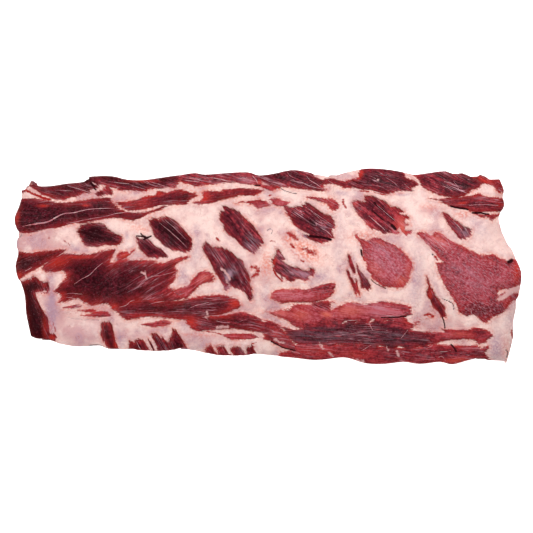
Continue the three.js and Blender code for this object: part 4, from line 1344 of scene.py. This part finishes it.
def muscle_paint(paint, meat, fat):
    """Colour of the muscle: from near black over wine and red to rose, streaked along its fibres."""
    where = paint.places()
    streaky = paint.attribute("streak")
    fibre = paint.noise(paint.fibres(70, 1500), 1, 2)
    bundle = paint.noise(paint.fibres(22, 330), 1, 2, 0.2)
    tone = paint.plus(paint.attribute("tone"), paint.times(paint.span(fibre, 0.3, 0.7, -0.2, 0.2), streaky))
    tone = paint.plus(tone, paint.times(paint.span(bundle, 0.35, 0.65, -0.16, 0.16), streaky))
    tone = paint.plus(tone, paint.span(paint.noise(where, 130, 3), 0.3, 0.7, -0.09, 0.09))
    tone = paint.plus(tone, paint.span(paint.noise(where, 430, 3), 0.32, 0.68, -0.12, 0.12))
    tone = paint.plus(tone, paint.span(fibre, 0.3, 0.7, -0.04, 0.04))
    lean = paint.mix(paint.span(tone, 0.0, 0.36), tuple(meat.dark), tuple(meat.wine))
    lean = paint.mix(paint.span(tone, 0.34, 0.66), lean, tuple(meat.red))
    lean = paint.mix(paint.span(tone, 0.64, 0.92), lean, tuple(meat.rose))
    red = paint.times(paint.attribute("red"), paint.span(fibre, 0.3, 0.6, 0.5, 1))
    lighter = paint.span(paint.attribute("tone"), 0.5, 0.85, 0, 0.75)
    rim = paint.mix(lighter, tuple(meat.rim), tuple(fat.flush))
    lean = paint.mix(red, lean, rim)
    flakes = paint.noise(paint.fibres(70, 380), 1, 3, 0.5)
    veil = paint.times(paint.attribute("grey"), paint.span(flakes, 0.42, 0.6, 0.12, 1))
    lean = paint.mix(veil, lean, tuple(fat.grey))
    # Pale streaks along the fibres: fat between them, and painted highlights on wet fibres
    grouped = paint.span(paint.noise(paint.fibres(24, 130), 1, 2), 0.44, 0.6, 0.08, 1)
    thread = paint.line(paint.noise(paint.fibres(26, 500), 1, 1, 0.3), 0.024)
    hair = paint.span(paint.noise(paint.fibres(60, 1500), 1, 1), 0.56, 0.72, 0, 0.7)
    streak = paint.times(paint.times(paint.math("MAXIMUM", thread, hair), grouped), streaky)
    lean = paint.mix(streak, lean, tuple(meat.streak))
    # Painted glints: small pale specks that stand in for wet highlights
    glint = paint.span(paint.noise(where, 1300, 1), 0.7, 0.76, 0, 0.4)
    lean = paint.mix(glint, lean, tuple(meat.streak))
    marbling = paint.span(paint.noise(paint.fibres(420, 950), 1, 3), 0.44, 0.68)
    marbling = paint.times(marbling, paint.times(paint.attribute("marble"), 0.55))
    lean = paint.mix(marbling, lean, tuple(meat.streak))
    return lean, fibre


def rack_paint(scene, name, roughness, shine, softness):
    """Moist fat and wet raw muscle in one finish, mixed by the paint layers, so that neighbouring
    pieces meet without a seam."""
    fat, meat = scene.rack_fat, scene.rack_meat
    paint = Paint(name, roughness, shine, softness)
    where = paint.places()
    fine = paint.noise(where, 520, 3)
    specks = paint.noise(where, 1200, 2)
    pale = fat_paint(paint, fat)
    lean, fibre = muscle_paint(paint, meat, fat)
    share = paint.attribute("lean")
    between = paint.times(paint.times(share, paint.math("SUBTRACT", 1, share)), 2.6)
    blur = paint.plus(paint.span(fibre, 0.3, 0.7, -0.7, 0.7), paint.span(fine, 0.3, 0.7, -0.25, 0.25))
    share = paint.plus(share, paint.times(between, blur))
    whole = paint.mix(paint.span(share, 0.1, 0.9), pale, lean)
    pale_line = paint.plus(paint.attribute("pale"), paint.span(fine, 0.3, 0.7, -0.25, 0.25))
    whole = paint.mix(paint.span(pale_line, 0.2, 0.8, 0, 0.9), whole, tuple(fat.pink))
    # Dark strokes: darkest muscle colour, partly painted shade in cracks
    whole = paint.mix(paint.span(paint.attribute("dark"), 0.15, 0.6), whole, tuple(meat.dark))
    paint.colour(whole)
    height = paint.plus(paint.times(fine, 0.8), paint.plus(paint.times(specks, 0.3), paint.times(fibre, 0.7)))
    paint.bump(height, 0.0007, 0.7)
    return paint.material


def bone_paint(scene):
    """Sawn bone: an ivory shell round red marrow, and thin skin along the rib."""
    bone = scene.rack_bone
    paint = Paint("sawn_bone", 0.5, 0.3, 0.15)
    where = paint.places()
    fine = paint.noise(where, 600, 3)
    cells = paint.noise(where, 1500, 1)
    broad = paint.noise(where, 60, 3)
    skin = paint.mix(paint.span(broad, 0.35, 0.65), tuple(bone.skin), tuple(scene.rack_fat.grey))
    skin = paint.mix(paint.span(fine, 0.5, 0.8, 0, 0.35), skin, tuple(scene.rack_fat.blood))
    shell = paint.mix(paint.span(fine, 0.45, 0.75, 0, 0.5), tuple(bone.ivory), tuple(bone.skin))
    marrow = paint.mix(paint.span(cells, 0.4, 0.6, 0, 0.55), tuple(bone.marrow), tuple(bone.ivory))
    whole = paint.mix(paint.attribute("shell"), skin, shell)
    whole = paint.mix(paint.attribute("marrow"), whole, marrow)
    paint.colour(whole)
    paint.bump(paint.plus(fine, paint.times(cells, 0.5)), 0.0006, 0.5)
    return paint.material


def material(name):
    """A finished material by name, made the first time it is asked for."""
    found = bpy.data.materials.get(name)
    if found:
        return found
    scene = bpy.context.scene
    if name == "moist_fat":
        return rack_paint(scene, name, roughness=0.42, shine=0.3, softness=0.15)
    if name == "raw_muscle":
        return rack_paint(scene, name, roughness=0.3, shine=0.03, softness=0.04)
    return bone_paint(scene)


def fat_sheet():
    """The fat cover with the rack's walls and the lip under them, as one sheet."""
    outer_rows = TURN_ROWS + WALL_ROWS + LIP_ROWS
    inner = (round(RACK_LENGTH / FAT_CELL), round(RACK_WIDTH / FAT_CELL))
    columns, rows = (count + 2 * outer_rows for count in inner)
    mesh, column, row = flat_grid(columns, rows)
    ring = np.minimum.reduce([column, columns - column, row, rows - row])
    out = np.maximum(0, outer_rows - ring)
    u = (np.clip(column, outer_rows, columns - outer_rows) - outer_rows) / inner[0]
    v = 1 - (np.clip(row, outer_rows, rows - outer_rows) - outer_rows) / inner[1]
    drawn_u = u + (0.5 - u) * 2 * TURN_REACH / RACK_LENGTH
    drawn_v = v + (0.5 - v) * 2 * TURN_REACH / RACK_WIDTH
    inside, rim = footprint(drawn_u, drawn_v), footprint(u, v)
    outward = unit(rim - inside)
    turned = np.clip(out / TURN_ROWS, 0, 1)
    down = np.clip((out - TURN_ROWS) / WALL_ROWS, 0, 1)
    under = np.maximum(0, out - TURN_ROWS - WALL_ROWS)
    depth = TURN_REACH * (1 - np.sin(turned * math.pi / 2))
    gaps, _ = nearest(inside[out == 0], looped(OUTLINE))
    depth[out == 0] = np.maximum(gaps, TURN_REACH)
    flat = inside + outward * np.where(out > 0, TURN_REACH - depth, 0)[:, None]
    edge_height = lay(rim, np.zeros(len(rim)), np.zeros(len(rim)), rim, outward)[:, 2]
    floor = belly(rim, LIP_STEP * under)
    drop = (edge_height - floor) * down
    unfolded = np.where((down > 0)[:, None], rim + outward * drop[:, None], flat)
    depths = muscle_depths(unfolded)
    lift, layers = dress(unfolded, depths, np.where(down > 0, -drop, depth), rim)
    lift = lift - DUCK * ease((depths.max(0) + 2.6) / 1.2)
    places = lay(flat, lift, depth, rim, outward)
    x, y = rim.T
    level = edge_height - drop
    walled = ease((drop - FOLD + 2) / 3)
    side = down > 0
    inset = SAWN_INSET * down**2 + LIP_STEP * under
    dents = 0.7 * cloud(x + y, 3 * level, 7, 51) * np.sin(down * math.pi)
    rib_reach = from_rib(x, y) / (0.56 * BONE_WIDTH)
    rib_middle = arch(x, y) + BONE_THICKNESS / 2 - FLAT_DEPTH
    rib_share = rib_reach**3 + np.abs((level - rib_middle) / (0.6 * BONE_THICKNESS)) ** 3
    sawn = ease(1.6 - rib_share) * (np.abs(y) > 50) * (under == 0)
    wall_lift = 0.4 * lift * (1 - walled) + dents * walled - inset - SAW_BITE * sawn
    places[side, :2] = (rim + outward * wall_lift[:, None])[side]
    places[side, 2] = level[side]
    set_places(mesh, places)
    lip = ease(under - 0.5)
    below = underside_layers(places[:, :2])
    layers = {key: value * (1 - lip) + below[key] * lip for key, value in layers.items()}
    set_layers(mesh, layers, np.column_stack([x + y, places[:, 2] + 0.2 * x]))
    hidden = (depths.max(0) > 2.4) & (out == 0)
    trim(mesh, ~hidden, merge=1e-6)
    return mesh


def muscle_sheet(index):
    """One muscle: a fine sheet whose rows run with the fibres, grooved between their bundles."""
    meat = bpy.context.scene.rack_meat
    one, ring = MUSCLES[index], RINGS[index]
    turn = axes_at(one["grain"])
    corners = ring @ turn
    margin = MARGIN + one["fray"]
    low, high = corners.min(0) - margin, corners.max(0) + margin
    columns, rows = (int(count) for count in np.ceil((high - low) / (GRAIN_ALONG, GRAIN_ACROSS)))
    mesh, column, row = flat_grid(columns, rows)
    grain = low + np.column_stack([column / columns, row / rows]) * (high - low)
    seed = 1000 + 20 * index
    t, s = grain.T
    flat = (grain + np.column_stack([0 * t, 0.9 * noise(t / 17, s / 12, seed)])) @ turn.T
    depths = muscle_depths(flat)
    rack_depth, feet, outward = to_outline(flat)
    lift, layers = dress(flat, depths, rack_depth, feet)
    best, mine = depths.max(0), depths[index]
    bundles = veins(s / 4.4, t / 38, seed + 1, 0.16)
    gaps = veins(s / 2.2, t / 24, seed + 2, 0.14) * ease(0.5 + cloud(*flat.T, 12, seed + 3))
    grooves = bundles + 0.6 * gaps
    relief = meat.fibre / MM * noise(s / 1.0, t / 15, seed + 4) - meat.groove / MM * grooves
    coarse = one["coarse"] * ease(mine / 1.2) * (1 - layers["pale"])
    lift = lift + relief * coarse - DUCK * ease((-2.0 - best) / 1.2) - DUCK * ease(best - mine)
    lift = lift - DUCK * ease((-rack_depth - FOLD + 2) / 1.5)
    # Painted shade in the grooves between bundles of fibres
    layers["tone"] = layers["tone"] - (0.13 * bundles + 0.07 * gaps) * coarse
    set_places(mesh, lay(flat, lift, rack_depth, feet, outward))
    set_layers(mesh, layers, np.column_stack([t + 370 * index, s + 530 * index]))
    trim(mesh, (best > -MARGIN) & (best - mine < 1.3) & (rack_depth > -FOLD))
    return mesh


def add_muscles(name, group):
    meshes = [muscle_sheet(MUSCLES.index(one)) for one in group]
    return add_piece(name, join(name, meshes), material("raw_muscle"), "rib_meat")


def strands():
    """Thin rounded strands of fat and sinew on the meat."""
    meshes = []
    for number, line in enumerate(STRANDS):
        line = np.array(line)
        middle = smooth_line(from_photo(line[:, :2]), 8)
        width = STRAND_SHARE * smooth_line(np.column_stack([line[:, 2], line[:, 2]]), 8)[:, 0] * PIXEL
        mesh, column, row = flat_grid(len(middle) - 1, 4)
        forward = unit(np.gradient(middle, axis=0))
        aside = np.column_stack([-forward[:, 1], forward[:, 0]])
        offset = (row - 2) / 4
        flat = middle[column] + aside[column] * (offset * width[column])[:, None]
        flat = wavering(flat, 0.25, 5, 33)
        rack_depth, feet, outward = to_outline(flat)
        lift, layers = dress(flat, muscle_depths(flat), rack_depth, feet)
        lift += width[column] * (0.5 * np.sqrt(1 - 3.9 * offset**2) - 0.12)
        set_places(mesh, lay(flat, lift, rack_depth, feet, outward))
        zero = np.zeros(len(flat))
        own = {"thin_and_shade": 1 + zero, "grey": 0.3 + zero, "tone": 0.8 + zero}
        own["lean"] = 0.48 + 0.3 * cloud(*flat.T, 5, 53)
        set_layers(mesh, {key: own.get(key, zero) for key in layers}, flat)
        trim(mesh)
        meshes.append(mesh)
    return join("strands", meshes)


def underside_layers(points):
    """Paint layers of the underside: muscle between the ribs under silver skin, and fat along them."""
    x, y = points.T
    open_meat = ease((from_rib(x, y) - 13) / 5) * ease(0.9 + 0.9 * cloud(x, y, 22, 92))
    fat_spots = ease(1.3 * cloud(x, y, 12, 93) - 0.3)
    zero = np.zeros(len(x))
    return {
        "lean": open_meat * (1 - fat_spots),
        "tone": 0.5 + 0.15 * cloud(x, y, 18, 94),
        "red": 0.35 * ease(cloud(x, y, 15, 95)),
        "flush": 0.5 * ease(0.3 + cloud(x, y, 11, 96)),
        "grey": 0.3 * ease(0.4 + cloud(x, y, 30, 98)),
        "thin_and_shade": 0.3 + zero,
        "pale": 0.4 * veins(x / 9, y / 40, 97, 0.08),
        "dark": zero,
        "streak": 0.4 + zero,
        "marble": 0.3 + zero,
    }


def underside_sheet():
    """The hollow underside between the ribs, covered by silver skin."""
    columns, rows = round(RACK_LENGTH / BELLY_CELL), round(RACK_WIDTH / BELLY_CELL)
    mesh, column, row = flat_grid(columns, rows)
    u = column / columns
    v = 1 - row / rows
    u = u + (0.5 - u) * 2 * SKIN_INSET / RACK_LENGTH
    v = v + (0.5 - v) * 2 * SKIN_INSET / RACK_WIDTH
    flat = footprint(u, v)
    x, y = flat.T
    depth, _, _ = to_outline(flat)
    rib = np.exp(-((from_rib(x, y) / 17) ** 4))
    height = belly(flat, depth) + 0.7 * (1 - ease((depth - 5) / 3))
    height += 0.9 * (1 - rib) * ease((depth - 8) / 10) + 0.35 * cloud(x, y, 14, 91)
    set_places(mesh, np.column_stack([flat, height]))
    set_layers(mesh, underside_layers(flat), flat)
    trim(mesh, turn=bmesh.ops.reverse_faces)
    return mesh


def edge_at(points, x):
    """Y of an edge of the outline where a rib crosses it."""
    columns, heights = zip(*points)
    return np.interp(x, columns, heights)


# Rows of a rib from the middle of one sawn end to its rim: share of the section, and how far the row
# lies behind the sawn face as a share of the marrow's depth
CAP_ROWS = ((0, 1), (0.25, 1), (0.5, 0.9), (0.68, 1), (0.76, 0.7), (0.8, 0), (0.9, 0), (0.97, 0.1), (1, 0.7))
SHAFT_ROWS = 84
RIB_SIDES = 44
SAW_STANDS = 0.8


def rib_tube(index):
    """One rib: a tube along its arch, closed by sawn ends with marrow in them."""
    bone = bpy.context.scene.rack_bone
    caps = len(CAP_ROWS)
    rows = 2 * caps + SHAFT_ROWS
    mesh, column, row = flat_grid(RIB_SIDES, rows - 1)
    start = edge_at(TOP_EDGE, rib_centre(index, RIB_Y)) - SAW_STANDS
    end = edge_at(BOTTOM_EDGE, rib_centre(index, -RIB_Y)) + SAW_STANDS
    from_end = np.minimum(row, rows - 1 - row)
    sizes, backs = np.array(CAP_ROWS).T
    cap_row = np.minimum(from_end, caps - 1)
    size = sizes[cap_row]
    back = backs[cap_row] * bone.marrow_depth / MM
    share = np.clip((row - caps) / (SHAFT_ROWS - 1), 0, 1)
    y = start + (end - start) * share
    y += np.where(share < 0.5, -1, 1) * np.where(from_end < caps, back, 0)
    angle = column / RIB_SIDES * 2 * math.pi
    waist = 1 - BONE_WAIST * np.cos(math.pi * y / RACK_WIDTH + index)
    rough = 1 + 0.012 * cloud(y, 6 * np.cos(angle) + 40 * index, 9, 120 + index)
    round_x, round_z = np.cos(angle), np.sin(angle)
    boxy_x, boxy_z = (np.sign(value) * np.abs(value) ** BONE_ROUNDNESS for value in (round_x, round_z))
    across = boxy_x * BONE_WIDTH / 2 * size * waist * rough
    up = boxy_z * BONE_THICKNESS / 2 * size * rough
    x = rib_centre(index, y) + across
    z = arch(rib_centre(index, y), y) + BONE_THICKNESS / 2 - FLAT_DEPTH + up
    set_places(mesh, np.column_stack([x, y, np.maximum(z, 0)]))
    cap = from_end < caps
    layers = {
        "shell": cap & (size > 0.7),
        "marrow": cap & (size < 0.74),
    }
    set_layers(mesh, layers, np.column_stack([y, x]))
    trim(mesh, merge=1e-6, turn=bmesh.ops.recalc_face_normals)
    return mesh


class RACK_OT_fat(bpy.types.Operator):
    """Adds the fat cover with its windows, ridges and walls"""

    bl_idname = "rack.fat"
    bl_label = "Fat cover"

    def execute(self, context):
        add_piece("fat_cover", fat_sheet(), material("moist_fat"), "rib_meat")
        return {"FINISHED"}


class RACK_OT_windows(bpy.types.Operator):
    """Adds the muscle that shows in the windows between the ribs"""

    bl_idname = "rack.windows"
    bl_label = "Window muscles"

    def execute(self, context):
        add_muscles("window_muscles", WINDOWS)
        return {"FINISHED"}


class RACK_OT_bands(bpy.types.Operator):
    """Adds the muscles that lie on the fat, along the edges and across the middle"""

    bl_idname = "rack.bands"
    bl_label = "Long muscles"

    def execute(self, context):
        add_muscles("edge_muscles", EDGE_BANDS)
        add_muscles("middle_muscles", MIDDLE_BANDS)
        add_muscles("eye_muscles", EYES)
        return {"FINISHED"}


class RACK_OT_strands(bpy.types.Operator):
    """Adds the thin strands of fat and sinew that lie on the meat"""

    bl_idname = "rack.strands"
    bl_label = "Strands"

    def execute(self, context):
        add_piece("strands", strands(), material("moist_fat"), "rib_meat")
        return {"FINISHED"}


class RACK_OT_underside(bpy.types.Operator):
    """Adds the silver skin and meat of the hollow underside"""

    bl_idname = "rack.underside"
    bl_label = "Underside"

    def execute(self, context):
        add_piece("underside", underside_sheet(), material("raw_muscle"), "rib_meat")
        return {"FINISHED"}


class RACK_OT_ribs(bpy.types.Operator):
    """Adds the seven ribs with their sawn ends"""

    bl_idname = "rack.ribs"
    bl_label = "Ribs"

    def execute(self, context):
        for index in range(len(RIB_TOP_X)):
            number = index + 1
            add_piece(f"rib_{number}", rib_tube(index), material("sawn_bone"), f"rib_bone_{number}")
        return {"FINISHED"}


class RACK_OT_stage(bpy.types.Operator):
    """Adds the floor, the lights and the camera"""

    bl_idname = "rack.stage"
    bl_label = "Stage"

    def execute(self, context):
        scene = context.scene
        stage = scene.rack_stage
        mesh, _, _ = flat_grid(1, 1)
        places = np.zeros(len(mesh.vertices) * 3)
        mesh.vertices.foreach_get("co", places)
        mesh.vertices.foreach_set("co", places * 8)
        paper = Paint("white_paper", 0.9, 0, 0)
        paper.shader.inputs["Base Color"].default_value = (0.9, 0.9, 0.9, 1)
        paper.shader.inputs["Emission Color"].default_value = (1, 1, 1, 1)
        paper.shader.inputs["Emission Strength"].default_value = 0.9
        mesh.materials.append(paper.material)
        floor = bpy.data.objects.new("floor", mesh)
        floor.location.z = -FLOOR_GAP * MM
        floor.visible_glossy = False
        scene.collection.objects.link(floor)
        lamps = (
            ("key", stage.key_power, (0.55, 1.0, 1.35), 0.8),
            ("fill", stage.fill_power, (-1.0, -0.6, 1.2), 1.0),
        )
        for name, power, place, size in lamps:
            light = bpy.data.lights.new(name, "AREA")
            light.energy = power
            light.size = size
            lamp = bpy.data.objects.new(name, light)
            lamp.location = place
            lamp.rotation_euler = (-Vector(place)).to_track_quat("-Z", "Y").to_euler()
            scene.collection.objects.link(lamp)
        world = bpy.data.worlds.new("studio")
        world.use_nodes = True
        sky = world.node_tree.nodes["Background"]
        sky.inputs["Color"].default_value = (1, 1, 1, 1)
        sky.inputs["Strength"].default_value = stage.sky
        scene.world = world
        lens = bpy.data.cameras.new("camera")
        lens.lens = stage.lens
        lens.clip_end = 20
        camera = bpy.data.objects.new("camera", lens)
        middle = from_photo((PHOTO_SIDE / 2, PHOTO_SIDE / 2)) + CENTRING
        rim_height = 14
        distance = PHOTO_SIDE * PIXEL * stage.lens / lens.sensor_width
        camera.location = Vector((*middle, rim_height + distance)) * MM
        scene.collection.objects.link(camera)
        scene.camera = camera
        scene.view_settings.view_transform = "Standard"
        return {"FINISHED"}


class RACK_PT_panel(bpy.types.Panel):
    """Steps that dress the rack"""

    bl_label = "Raw Beef Back Ribs"
    bl_idname = "RACK_PT_panel"
    bl_space_type = "VIEW_3D"
    bl_region_type = "UI"
    bl_category = "Ribs"

    def draw(self, context):
        for step in STEPS:
            self.layout.operator(step.bl_idname)
        for name in SETTINGS:
            group = getattr(context.scene, name)
            for key in group.bl_rna.properties.keys():
                if key not in ("rna_type", "name"):
                    self.layout.prop(group, key)


STEPS = (
    RACK_OT_fat,
    RACK_OT_windows,
    RACK_OT_bands,
    RACK_OT_strands,
    RACK_OT_underside,
    RACK_OT_ribs,
    RACK_OT_stage,
)
SETTINGS = {
    "rack_fat": RackFatSettings,
    "rack_meat": RackMeatSettings,
    "rack_bone": RackBoneSettings,
    "rack_stage": RackStageSettings,
}


def register():
    for name, group in SETTINGS.items():
        bpy.utils.register_class(group)
        setattr(bpy.types.Scene, name, bpy.props.PointerProperty(type=group))
    for step in (*STEPS, RACK_PT_panel):
        bpy.utils.register_class(step)


def unregister():
    for step in (RACK_PT_panel, *reversed(STEPS)):
        bpy.utils.unregister_class(step)
    for name, group in SETTINGS.items():
        delattr(bpy.types.Scene, name)
        bpy.utils.unregister_class(group)


def main():
    register()
    bpy.ops.rack.fat()
    bpy.ops.rack.windows()
    bpy.ops.rack.bands()
    bpy.ops.rack.strands()
    bpy.ops.rack.underside()
    bpy.ops.rack.ribs()
    bpy.ops.rack.stage()


if __name__ == "__main__":
    main()
